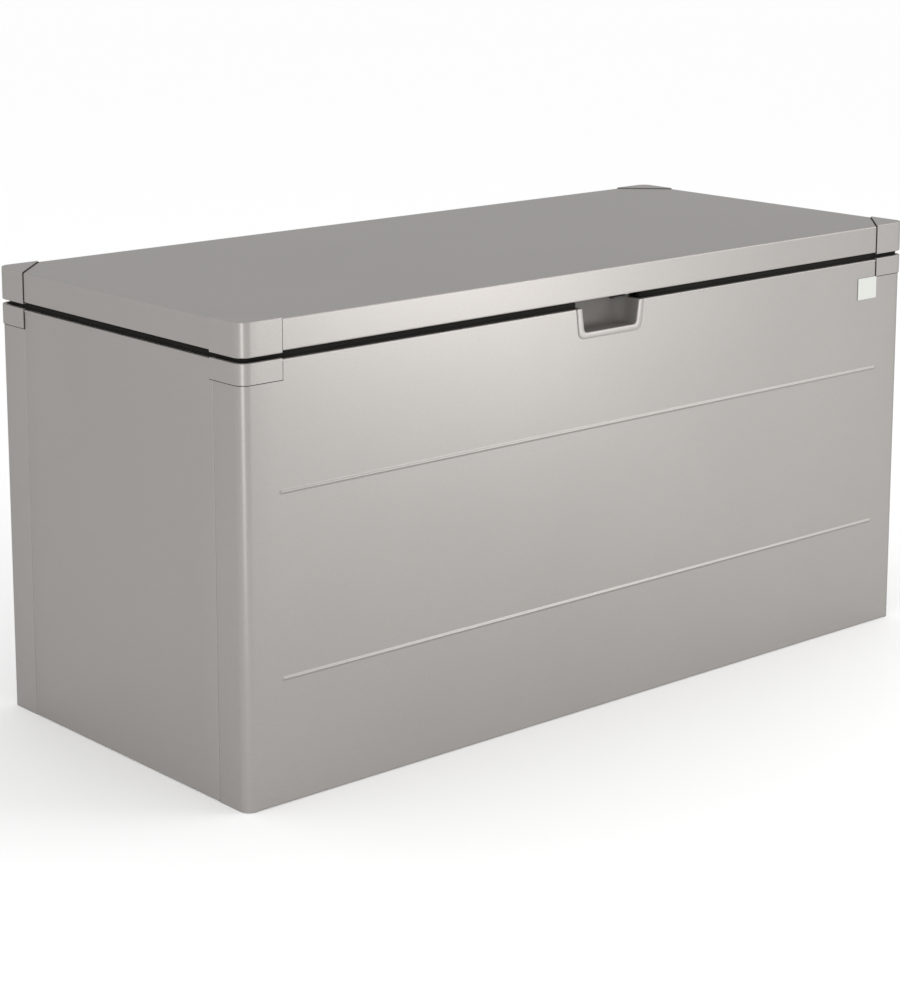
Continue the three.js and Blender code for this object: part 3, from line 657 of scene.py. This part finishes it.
def grip_scoop():
    """Half ovals from the floor up, with a slot at the back for the lock's cam."""
    rises = GRIP_ROUND * (1 - np.cos(np.linspace(0, math.pi / 2, 8)))
    levels = np.concatenate([rises, [9, 13, 18, 24, 30, 35.6, 39, 42]]) / 42
    rows = np.array([cup_row(level, CUP_TOP) for level in levels])
    middle = (rows[:-1, :-1] + rows[:-1, 1:] + rows[1:, 1:] + rows[1:, :-1]) / 4
    x, z = middle[..., 0], middle[..., 2]
    cam_low, cam_high = box_mm("lock_cam")
    slot = (x > cam_low[0]) & (x < cam_high[0] + 2) & (z > cam_low[2] - 3.5)
    shell = Shell()
    shell.grid(rows, ~slot)
    shell.outline(rows[0], flip=True)
    piece("grip_scoop", shell, SHADED_CUP, "box", ["grip_cup"], wall=1.6, edge=0.3)
    return rows


def grip_lip():
    """A flat lip that fills between the scoop's oval top and a squarer outline."""
    across, deep = half_oval(0.25)
    outer = np.column_stack([-LIP_HALF * across, CUP_SETBACK - HALF_D + LIP_DEEP * deep])
    inner = cup_row(1, BODY_TOP + LIP_WALL)[:, :2]
    shell = Shell()
    shares = (0.04, 0.5, 1)
    shell.grid(np.array([with_height(inner + (outer - inner) * n, BODY_TOP + 0.6) for n in shares]))
    piece("grip_lip", shell, SHADED_CUP, "box", wall=LIP_WALL, edge=0.15)


def grip_rim(rows):
    """A raised rim: a soft-edged profile carried from its outer outline to the mouth's outline,
    which the ends of the scoop's rows give."""
    mouth = np.concatenate([rows[::-1, 0], rows[1:, -1]])
    mouth = mouth[mouth[:, 2] < BODY_TOP + 0.6][:, [0, 2]]
    mouth[[0, -1], 1] = BODY_TOP
    top_half = GRIP_TOP_HALF - 0.2
    corners = [(-top_half, BODY_TOP), (-GRIP_LOW_HALF, GRIP_LOW),
               (GRIP_LOW_HALF, GRIP_LOW), (top_half, BODY_TOP)]
    outer = rounded_path(corners, [RIM_ROUND] * 2, 12, 8)
    outer, mouth = evenly(outer, 90), evenly(mouth, 90)
    profile = [(0, -0.4), (0, 0.7), (0.06, 1.2), (0.16, 1.5),
               (0.84, 1.5), (0.94, 1.25), (1, 0.6), (1, -2.6)]  # share of the way in, proud
    strips = []
    for share, proud in profile:
        line = outer + (mouth - outer) * share
        face = np.full(len(line), -HALF_D - proud)
        strips.append(np.column_stack([line[:, 0], face, line[:, 1]]))
    shell = Shell()
    shell.grid(np.array(strips))
    piece("grip_rim", shell, RIM, "box", wall=1.2, edge=0.2)


scoop_rows = grip_scoop()
grip_lip()
grip_rim(scoop_rows)


# ---- Straight and turned parts ----
def frame_of(origin, across, up):
    """Places (a, b, c) at origin + a across + b up + c along the third axis."""
    origin, across, up = (np.array(v, float) for v in (origin, across, up))
    along = np.cross(across, up)

    def place(a, b, c):
        flat = origin + np.multiply.outer(a, across) + np.multiply.outer(b, up)
        return flat + np.multiply.outer(c, along)

    return place


def folded(name, path, radii, place, stops, wall, finish, body, nodes, flip=False, edge=0.3):
    """A strip bent along its path's corners and carried straight from stop to stop."""
    line = rounded_path(path, radii, 5, 1)
    shell = Shell()
    rows = [place(line[:, 0], line[:, 1], np.full(len(line), t)) for t in stops]
    shell.grid(np.array(rows), flip=flip)
    piece(name, shell, finish, body, nodes, wall=wall, edge=edge)


def bar(shell, outline, place, start, end):
    """A closed outline, anticlockwise in its own plane, carried straight between flat ends."""
    ring = np.array(outline, float)
    rows = [place(ring[:, 0], ring[:, 1], np.full(len(ring), t)) for t in (start, end)]
    shell.grid(np.array(rows), closed=True)
    shell.outline(rows[0], flip=True)
    shell.outline(rows[1])


def turned(shell, profile, place, steps=32):
    """A profile of (radius, height) turned about the frame's third axis."""
    profile = np.array(profile, float)
    turn = np.linspace(0, 2 * math.pi, steps, endpoint=False)
    rows = [place(r * np.cos(turn), r * np.sin(turn), np.full(steps, h)) for r, h in profile]
    shell.grid(np.array(rows), closed=True)
    if profile[0][0] > 0:
        shell.outline(rows[0], flip=True)
    if profile[-1][0] > 0:
        shell.outline(rows[-1])


def soft_box(width, height, radius, steps=6):
    """Outline of a rectangle from 0, 0 with rounded corners, anticlockwise."""
    corners = [(width / 2, 0), (width, 0), (width, height), (0, height), (0, 0), (width / 2, 0)]
    return rounded_path(corners, [radius] * 4, steps)[:-1]


def screw_head(shell, place, radius=4.0, height=1.6):
    """Button head with a round recess."""
    turn = np.linspace(0, math.pi / 2 - 0.45, 6)
    dome = [(radius * math.cos(a), height * math.sin(a)) for a in turn]
    recess = [(radius * 0.4, height * 0.9), (radius * 0.36, height * 0.35), (0, height * 0.3)]
    turned(shell, dome + recess, place, 24)


def badge():
    """Thin blank plate with rounded corners."""
    low, high = box_mm("badge_plate")
    shell = Shell()
    place = frame_of((low[0], high[1], low[2]), (1, 0, 0), (0, 0, 1))
    bar(shell, soft_box(high[0] - low[0], high[2] - low[2], 1.5), place, 0, high[1] - low[1])
    piece("badge", shell, PALE, "box", ["badge_plate"], edge=0.25)


badge()


# ---- Weather seal ----
SEAL_WIDTH = 9.0
SEAL_INSET = 5.0  # from the body's face to the seal
SEAL_PAST_GRIP = 69.0


def bulb_outline(width, height):
    """Flat foot with a soft round bulb on it, anticlockwise from the foot's middle."""
    half = [(0.5, 0), (1, 0), (1, 0.2), (0.86, 0.26), (0.97, 0.55), (0.86, 0.92), (0.5, 1)]
    right = np.array(half)
    left = np.column_stack([1 - right[:, 0], right[:, 1]])[::-1]
    corners = np.concatenate([right, left[1:]]) * [width, height]
    return rounded_path(corners, [0.3, 0.6, 0.4, 1.6, 2.2, 3.0, 2.2, 1.6, 0.4, 0.6, 0.3], 4)[:-1]


def seal_along(name, line, node):
    """The bulb carried along a plan line; the line keeps the seal's outer face on its right."""
    low, high = (corner[2] for corner in box_mm(node))
    section = bulb_outline(SEAL_WIDTH, high - low)
    ahead = np.gradient(line, axis=0)
    ahead /= np.linalg.norm(ahead, axis=1)[:, None]
    inward = np.column_stack([-ahead[:, 1], ahead[:, 0]])
    rows = []
    for point, step in zip(line, inward):
        plan = point + np.multiply.outer(section[:, 0], step)
        rows.append(np.column_stack([plan, low + section[:, 1]]))
    shell = Shell()
    shell.grid(np.array(rows), closed=True)
    shell.outline(rows[0], flip=True)
    shell.outline(rows[-1])
    piece(name, shell, RUBBER, "box", [node])


def seals():
    """Two straight lengths beside the grip, one round each front corner, and one at the rear."""
    front, outside = SEAL_INSET - HALF_D, HALF_W - SEAL_INSET
    side_rear = box_mm("seal_right")[1][1]
    for side, sign in SIDES:
        near, far = sorted((sign * SEAL_PAST_GRIP, sign * (STRAIGHT - 0.3)))
        line = np.linspace((near, front), (far, front), 9)
        seal_along("seal_strip_front_" + side, line, "seal_front_" + side)
        plan = [(STRAIGHT, front), (outside, front), (outside, side_rear)]
        corner = rounded_path(plan, [CORNER - SEAL_INSET - 0.2], 10, 8) * [sign, 1]
        seal_along("seal_strip_" + side, corner if sign > 0 else corner[::-1], "seal_" + side)
    low, high = box_mm("seal_rear")
    line = np.linspace((high[0], high[1]), (low[0], high[1]), 17)
    seal_along("seal_strip_rear", line, "seal_rear")


seals()


# ---- Floor, base rails, rim rails, stiffeners ----
def floor_tray():
    """A tray: its upturned edge carried round the plan outline, a soft fold, and a flat bottom."""
    low, high = box_mm("floor_panel")
    inset = HALF_W - high[0]
    rings = [(inset, CORNER - inset, high[2]), (inset, CORNER - inset, low[2] + 4)]
    rings += [(inset + n, CORNER - inset - n, low[2] + 3 - rise) for n, rise in fold(3.0)]
    rings.append((inset + 6, CORNER - inset - 6, low[2]))
    loops = np.array([with_height(ring_path((n, n, n), radius), z) for n, radius, z in rings])
    shell = Shell()
    shell.grid(loops, closed=True, flip=True)
    shell.outline(loops[-1], flip=True)
    piece("floor_tray", shell, COAT, "box", ["floor_panel"], wall=1.2, edge=SHEET_EDGE)


floor_tray()


def hat_strip(name, node, crown, foot, wall, body, hangs):
    """Hat section along Y: two feet, two webs and a crown, all folds rounded."""
    low, high = box_mm(node)
    middle = (low[0] + high[0]) / 2
    tall = high[2] - low[2]
    a, b = crown / 2 + wall, crown / 2 + foot
    path = [(-b, wall), (-a, wall), (-a, tall), (a, tall), (a, wall), (b, wall)]
    up = -1 if hangs else 1
    place = frame_of((middle, low[1], high[2] if hangs else low[2]), (-up, 0, 0), (0, 0, up))
    stops = np.linspace(0, high[1] - low[1], 9)
    folded(name, path, [1.5, 3.0, 3.0, 1.5], place, stops, wall, BLACK, body, [node], flip=True)


for n in (1, 2, 3):
    hat_strip(f"base_channel_{n}", f"base_rail_{n}", 60, 18, 1.5, "box", False)
    hat_strip(f"lid_channel_{n}", f"lid_stiffener_{n}", 56, 16, 1.2, "lid", True)


def rim_strip(name, node, inwards, along):
    """Angle section: a foot under the flange and a web that stands up behind it as a drip edge."""
    low, high = box_mm(node)
    outer = np.where(np.array([*inwards, 0]) > 0, low, high)
    start = np.where(np.array([*along, 0]) > 0, low, outer)
    start = np.where(np.array([*along, 0]) < 0, high, start)
    start[2] = low[2]
    wide = abs((high - low)[:2] @ np.abs(inwards))
    length = abs((high - low)[:2] @ np.abs(along))
    place = frame_of(start, (*inwards, 0), (0, 0, 1))
    path = [(0, 0), (wide, 0), (wide, high[2] - low[2])]
    sign = 1 if np.dot(place(0, 0, 1) - start, (*along, 0)) > 0 else -1
    stops = np.linspace(0, sign * length, 9)
    folded(name, path, [3.0], place, stops, 1.2, BLACK, "box", [node], flip=sign < 0)


rim_strip("rim_strip_front", "rim_rail_front", (0, 1), (1, 0))
rim_strip("rim_strip_rear", "rim_rail_rear", (0, -1), (1, 0))
rim_strip("rim_strip_left", "rim_rail_left", (1, 0), (0, 1))
rim_strip("rim_strip_right", "rim_rail_right", (-1, 0), (0, 1))


# ---- Hinges ----
def middle_of(node):
    low, high = box_mm(node)
    return (low + high) / 2


PIN_Y, PIN_Z = middle_of("hinge_pin_2")[1:]
LEAF_WALL = 2.0


def hinge_leaf(name, node, low, high, on_lid, body):
    """A leaf whose end is rolled round the pin, with gaps cut for the other leaf's knuckles."""
    box_low, box_high = box_mm(node)
    middle = (low + high) / 2
    up = -1 if on_lid else 1
    reach, inner = 3.0, box_low[1]
    roll = [(PIN_Y + reach * math.cos(a), PIN_Z + up * reach * math.sin(a))
            for a in np.radians(np.linspace(-90, 205, 25))]
    touch = PIN_Z - up * reach
    bends = [(inner, middle), (PIN_Y - 6.5, middle), (PIN_Y - 3.5, touch), (PIN_Y, touch)]
    lead = rounded_path(bends, [2.5, 2.5], 3)
    line = np.concatenate([lead[:-1], roll])
    pitch = (box_high[0] - box_low[0]) / 5 if not on_lid else 16.0
    left = (box_low[0] + box_high[0]) / 2 - 2.5 * pitch
    stops, solid = [left], []
    for k in range(5):
        stops += [left + k * pitch + 0.2, left + (k + 1) * pitch - 0.2]
        solid += [False, k % 2 == on_lid]
    stops.append(left + 5 * pitch)
    solid.append(False)
    rows = [np.column_stack([np.full(len(line), x), line]) for x in stops]
    plate = line[:-1, 0] < PIN_Y - 6.0
    plate[len(lead) - 1 :] = False
    shell = Shell()
    shell.grid(np.array(rows), np.array(solid)[:, None] | plate[None], flip=not on_lid)
    made = piece(name, shell, ZINC, body, [node], edge=0.25)
    solidify = made.modifiers.new("thickness", "SOLIDIFY")
    solidify.thickness = 1.9 * MM
    solidify.offset = 0
    made.modifiers.move(1, 0)


def hinge_set():
    """Three hinges: two leaves and a pin each, and the leaves' screws."""
    on_body, on_lid = Shell(), Shell()
    for n in (1, 2, 3):
        for part, under, body in (("body", 0, "box"), ("lid", 1, "lid")):
            node = f"hinge_leaf_{part}_{n}"
            low, high = box_mm(node)
            bottom = high[2] - LEAF_WALL if under else low[2]
            top = bottom + LEAF_WALL
            hinge_leaf(f"hinge_{part}_{n}", node, bottom, top, under, body)
            for dx in (-30, 0, 30):
                seat = bottom - 0.05 if under else top + 0.05
                spot = ((low[0] + high[0]) / 2 + dx, low[1] + 8.5, seat)
                place = frame_of(spot, (1, 0, 0), (0, -1 if under else 1, 0))
                screw_head(on_lid if under else on_body, place, 3.6, 1.4)
        low, high = box_mm(f"hinge_pin_{n}")
        pin = Shell()
        ends = [(1.6, 0), (2.0, 0.4), (2.0, 79.6), (1.6, 80.0)]
        turned(pin, ends, frame_of((low[0], PIN_Y, PIN_Z), (0, 1, 0), (0, 0, 1)), 24)
        piece(f"hinge_rod_{n}", pin, ZINC, "box", [f"hinge_pin_{n}"])
    piece("hinge_screws_body", on_body, ZINC, "box")
    piece("hinge_screws_lid", on_lid, ZINC, "lid")


hinge_set()


# ---- Gas struts ----
BALL_X = 660.0  # the balls lie this far from the middle of the box


def gas_strut(side, sign):
    """Turned tube, rod and moulded ends along the line between the two balls; the tube has a
    rolled groove near its open end."""
    lower, upper = (
        middle_of(f"ball_stud_{where}_{side}") * [0, 1, 1] + [sign * BALL_X, 0, 0]
        for where in ("low", "high")
    )
    length = np.linalg.norm(upper - lower)
    along = (upper - lower) / length
    across = np.array([1.0, 0, 0])
    up = np.cross(along, across)
    tube, rod = Shell(), Shell()
    end = length - 22.0
    closed_end = [(4.0, 13.2), (4.6, 13.2), (5.2, 15.0), (8.2, 15.4), (8.8, 15.9), (9.0, 16.6)]
    groove = [(9.0, 15), (8.95, 14.2), (8.35, 13.3), (8.3, 12.3), (8.95, 11.4), (9.0, 10.6)]
    open_end = [(9.0, 2.4), (8.8, 1.2), (8.2, 0.4), (7.4, 0.1), (5.0, 0.1), (4.7, 0.6), (4.5, 5)]
    profile = closed_end + [(radius, end - back) for radius, back in groove + open_end]
    turned(tube, profile, frame_of(lower, across, up), 48)
    piston = [(3.6, 28), (7.0, 28.2), (7.2, 29), (7.2, 36), (7.0, 36.8), (4.0, 37)]
    rod_end = [(4.0, length - 14.6), (3.7, length - 14.3)]
    turned(rod, piston + rod_end, frame_of(lower, across, up), 40)
    piece("strut_cylinder_" + side, tube, BLACK, side + "_tube", ["strut_tube_" + side])
    piece("strut_stem_" + side, rod, CHROME, side + "_rod", ["strut_rod_" + side])
    moulded = [(0, -8), (3.4, -7.8), (5.4, -6.6), (6.3, -4.4), (6.5, -2), (6.5, 7),
               (6.2, 7.8), (5.6, 8.4), (5.6, 12.4), (5.3, 13.0), (4.0, 13.2)]
    boss = [(4.9, -6.0), (5.6, -5.9), (6.1, -5.4), (6.2, -4.8), (6.2, 3.2),
            (6.0, 4.2), (5.2, 4.9), (4.5, 5.0), (4.4, 3.4)]
    for where, ball, way in (("low", lower, along), ("high", upper, -along)):
        shell = Shell()
        turned(shell, moulded, frame_of(ball, across, np.cross(way, across)), 36)
        turned(shell, boss, frame_of(ball, (0, sign, 0), (0, 0, 1)), 36)
        body = side + ("_tube" if where == "low" else "_rod")
        piece(f"strut_end_{where}_{side}", shell, PLASTIC, body, [f"strut_socket_{where}_{side}"])
        ball_stud(where, side, sign, ball, "box" if where == "low" else body)


def ball_stud(where, side, sign, ball, body):
    """Ball, waisted neck, hexagonal foot with chamfered corners."""
    low, high = box_mm(f"ball_stud_{where}_{side}")
    ball_radius = 4.0
    run = high[0] - low[0] - ball_radius
    turn = np.linspace(-math.pi / 2, math.radians(57), 14)
    profile = [(ball_radius * math.cos(a), ball_radius * math.sin(a)) for a in turn]
    profile[0] = (0.0, -ball_radius)
    profile += [(2.2, 4.2), (2.2, run - 3.6), (2.8, run - 3.0)]
    shell = Shell()
    place = frame_of(ball, (0, sign, 0), (0, 0, 1))
    turned(shell, profile, place, 32)
    turned(shell, [(4.8, run - 3.0), (5.5, run - 2.6), (5.5, run - 0.4), (5.0, run)], place, 6)
    piece(f"ball_pin_{where}_{side}", shell, ZINC, body, [f"ball_stud_{where}_{side}"], edge=0.2)


PLATE_WALL = 3.0


def strut_plates(side, sign):
    """Body plate with rounded lower corners, lid angle, and their button-head screws."""
    low, high = box_mm("strut_plate_body_" + side)
    inner = low[0] if sign > 0 else high[0]
    start = low[1] if sign > 0 else high[1]
    place = frame_of((inner, start, low[2]), (0, sign, 0), (0, 0, 1))
    wide, tall = high[1] - low[1], high[2] - low[2]
    corners = [(wide / 2, 0), (wide, 0), (wide, tall), (0, tall), (0, 0), (wide / 2, 0)]
    shell = Shell()
    bar(shell, rounded_path(corners, [11, 3, 3, 11], 8)[:-1], place, 0, PLATE_WALL)
    piece("strut_bracket_body_" + side, shell, ZINC, "box", ["strut_plate_body_" + side], edge=0.35)
    heads = Shell()
    for share in (0.25, 0.75):
        y = low[1] + share * wide
        screw_head(heads, frame_of((inner, y, high[2] - 9), (0, -sign, 0), (0, 0, 1)), 5.0, 2.4)
    piece("strut_screws_body_" + side, heads, ZINC, "box")
    low, high = box_mm("strut_plate_lid_" + side)
    foot, web = (high[0], low[0]) if sign > 0 else (low[0], high[0])
    place = frame_of((web, low[1] if sign > 0 else high[1], high[2]), (sign, 0, 0), (0, 0, -1))
    path = [(abs(foot - web), 0.0), (0.0, 0.0), (0.0, high[2] - low[2])]
    stops = np.linspace(0, high[1] - low[1], 5)
    folded("strut_bracket_lid_" + side, path, [4.5], place, stops, PLATE_WALL, ZINC, "lid",
           ["strut_plate_lid_" + side], flip=True, edge=0.4)
    heads = Shell()
    for share in (0.22, 0.78):
        y = low[1] + share * (high[1] - low[1])
        spot = (foot - sign * 9, y, high[2] - PLATE_WALL - 0.05)
        screw_head(heads, frame_of(spot, (1, 0, 0), (0, -1, 0)), 4.5, 2.2)
    piece("strut_screws_lid_" + side, heads, ZINC, "lid")


for side, sign in SIDES:
    gas_strut(side, sign)
    strut_plates(side, sign)


# ---- Lock ----
LOCK_X, LOCK_Y, _ = middle_of("lock_housing")


def lock_barrel():
    """A turned barrel with a collar below, and a six-sided nut."""
    low, high = box_mm("lock_housing")
    collar, top = low[2], high[2]
    up = frame_of((LOCK_X, LOCK_Y, 0), (1, 0, 0), (0, 1, 0))
    shell = Shell()
    turned(shell, [(6.3, collar + 1.5), (6.4, collar + 0.2), (7.2, collar), (10.2, collar),
                   (10.9, collar + 0.7), (11.0, collar + 1.4), (11.0, collar + 2.3),
                   (9.0, collar + 2.3), (9.0, top - 0.6), (8.4, top), (6.3, top)], up, 48)
    nut = collar + 3.8
    turned(shell, [(9.1, nut), (12.4, nut), (13.0, nut + 0.6), (13.0, nut + 4.4), (12.4, nut + 5),
                   (9.1, nut + 5)], up, 6)
    piece("lock_barrel", shell, CHROME, "lid", ["lock_housing"], edge=0.2)


def lock_core():
    """A turned plug with its keyway as a flat outline on its end."""
    bottom, top = (corner[2] for corner in box_mm("lock_plug"))
    up = frame_of((LOCK_X, LOCK_Y, 0), (1, 0, 0), (0, 1, 0))
    shell = Shell()
    turned(shell, [(5.6, bottom), (6.0, bottom + 0.4), (6.0, top - 0.4), (5.6, top)], up, 40)
    keyway = np.array([(-3.5, 0.8), (-3.5, -0.8), (3.5, -0.8), (3.5, 0.8)]) + [LOCK_X, LOCK_Y]
    shell.outline(with_height(keyway, bottom - 0.05))
    piece("lock_core", shell, CHROME, "lock", ["lock_plug"])


def lock_tongue():
    """A flat cam: a round hub and a tip with rounded corners."""
    low, high = box_mm("lock_cam")
    hub, reach = high[0] - LOCK_X, LOCK_X - low[0]
    turn = np.linspace(-1.9, 1.9, 25)
    head = np.column_stack([hub * np.cos(turn), hub * np.sin(turn)])
    corners = [(-reach + 12, 5.5), (-reach, 5.0), (-reach, -5.0), (-reach + 12, -5.5)]
    tip = rounded_path(corners, [3.5, 3.5], 6)
    place = frame_of((LOCK_X, LOCK_Y, low[2]), (1, 0, 0), (0, 1, 0))
    shell = Shell()
    bar(shell, np.concatenate([head, tip]), place, 0, high[2] - low[2])
    piece("lock_tongue", shell, BLACK, "lock", ["lock_cam"], edge=0.3)


def lock_keeper():
    """The striker: an angle folded from one strip."""
    low, high = box_mm("lock_striker")
    path = [(low[1], high[2]), (high[1], high[2]), (high[1], low[2])]
    place = frame_of((low[0], 0, 0), (0, 1, 0), (0, 0, 1))
    stops = np.linspace(0, high[0] - low[0], 3)
    folded("lock_keeper", path, [2.5], place, stops, 1.7, ZINC, "box", ["lock_striker"], flip=True)


lock_barrel()
lock_core()
lock_tongue()
lock_keeper()


# ---- Everything that still shows as a CAD node gets its finish ----
FINISH_OF = dict([COAT, SHADED_CUP, BLACK, ZINC, PALE, RUBBER, CHROME, PLASTIC])
for row in frame["record"]["subparts"]:
    node = frame["nodes"][row["node"]]
    node.data.materials.clear()
    node.data.materials.append(FINISH_OF[row["material_slot"]])


# ---- Floor, light and camera ----
def area_light(name, place, target, size, power):
    """A white rectangle of light, unseen by the camera, that faces its target."""
    data = bpy.data.lights.new(name, "AREA")
    data.shape = "RECTANGLE"
    data.size, data.size_y = size
    data.energy = power
    light = bpy.data.objects.new(name, data)
    light.location = place
    light.visible_camera = False
    light.rotation_euler = (Vector(target) - Vector(place)).to_track_quat("-Z", "Y").to_euler()
    bpy.context.scene.collection.objects.link(light)


def studio():
    """Pale floor, even surroundings, and large soft lights."""
    ground = bpy.data.meshes.new("studio_floor")
    reach = 30.0
    corners = [(-reach, -reach, 0), (reach, -reach, 0), (reach, reach, 0), (-reach, reach, 0)]
    ground.from_pydata(corners, [], [(0, 1, 2, 3)])
    floor = bpy.data.objects.new("studio_floor", ground)
    bpy.context.scene.collection.objects.link(floor)
    paint = Paint("studio_floor", Roughness=0.9)
    paint.shader.inputs["Base Color"].default_value = (0.9, 0.9, 0.9, 1)
    paint.shader.inputs["Emission Color"].default_value = (1, 1, 1, 1)
    paint.shader.inputs["Emission Strength"].default_value = 0.08
    ground.materials.append(paint.material)
    world = bpy.data.worlds.new("studio")
    world.use_nodes = True
    sky = world.node_tree.nodes["Background"]
    sky.inputs["Color"].default_value = (1, 1, 1, 1)
    sky.inputs["Strength"].default_value = 1.0
    bpy.context.scene.world = world
    area_light("glow", (1.22, -2.2, 0.45), (-0.3, -0.3, 0.62), (0.6, 0.5), 8.1)
    area_light("front_fill", (3.6, -3.4, 1.6), (0.1, -0.3, 0.3), (1.6, 1.4), 27)
    area_light("edge_strip", (2.05, -1.95, 1.95), (0, -0.3, 0.45), (2.2, 0.35), 8)
    area_light("corner_strip", (-2.1, -1.7, 0.6), (-0.7, -0.3, 0.4), (0.6, 1.2), 9)
    bpy.context.scene.view_settings.view_transform = "Standard"


def camera():
    """Looks along the diagonal from the front left, a little above the lid."""
    data = bpy.data.cameras.new("camera")
    data.sensor_width = 36.0
    data.lens = 90.6
    data.shift_y = -0.18
    data.clip_end = 100.0
    made = bpy.data.objects.new("camera", data)
    made.location = (-2.6705, -2.9906, 1.338)
    made.rotation_euler = (math.radians(90 - 10.834), 0, -math.radians(41.166))
    bpy.context.scene.collection.objects.link(made)
    bpy.context.scene.camera = made


studio()
camera()
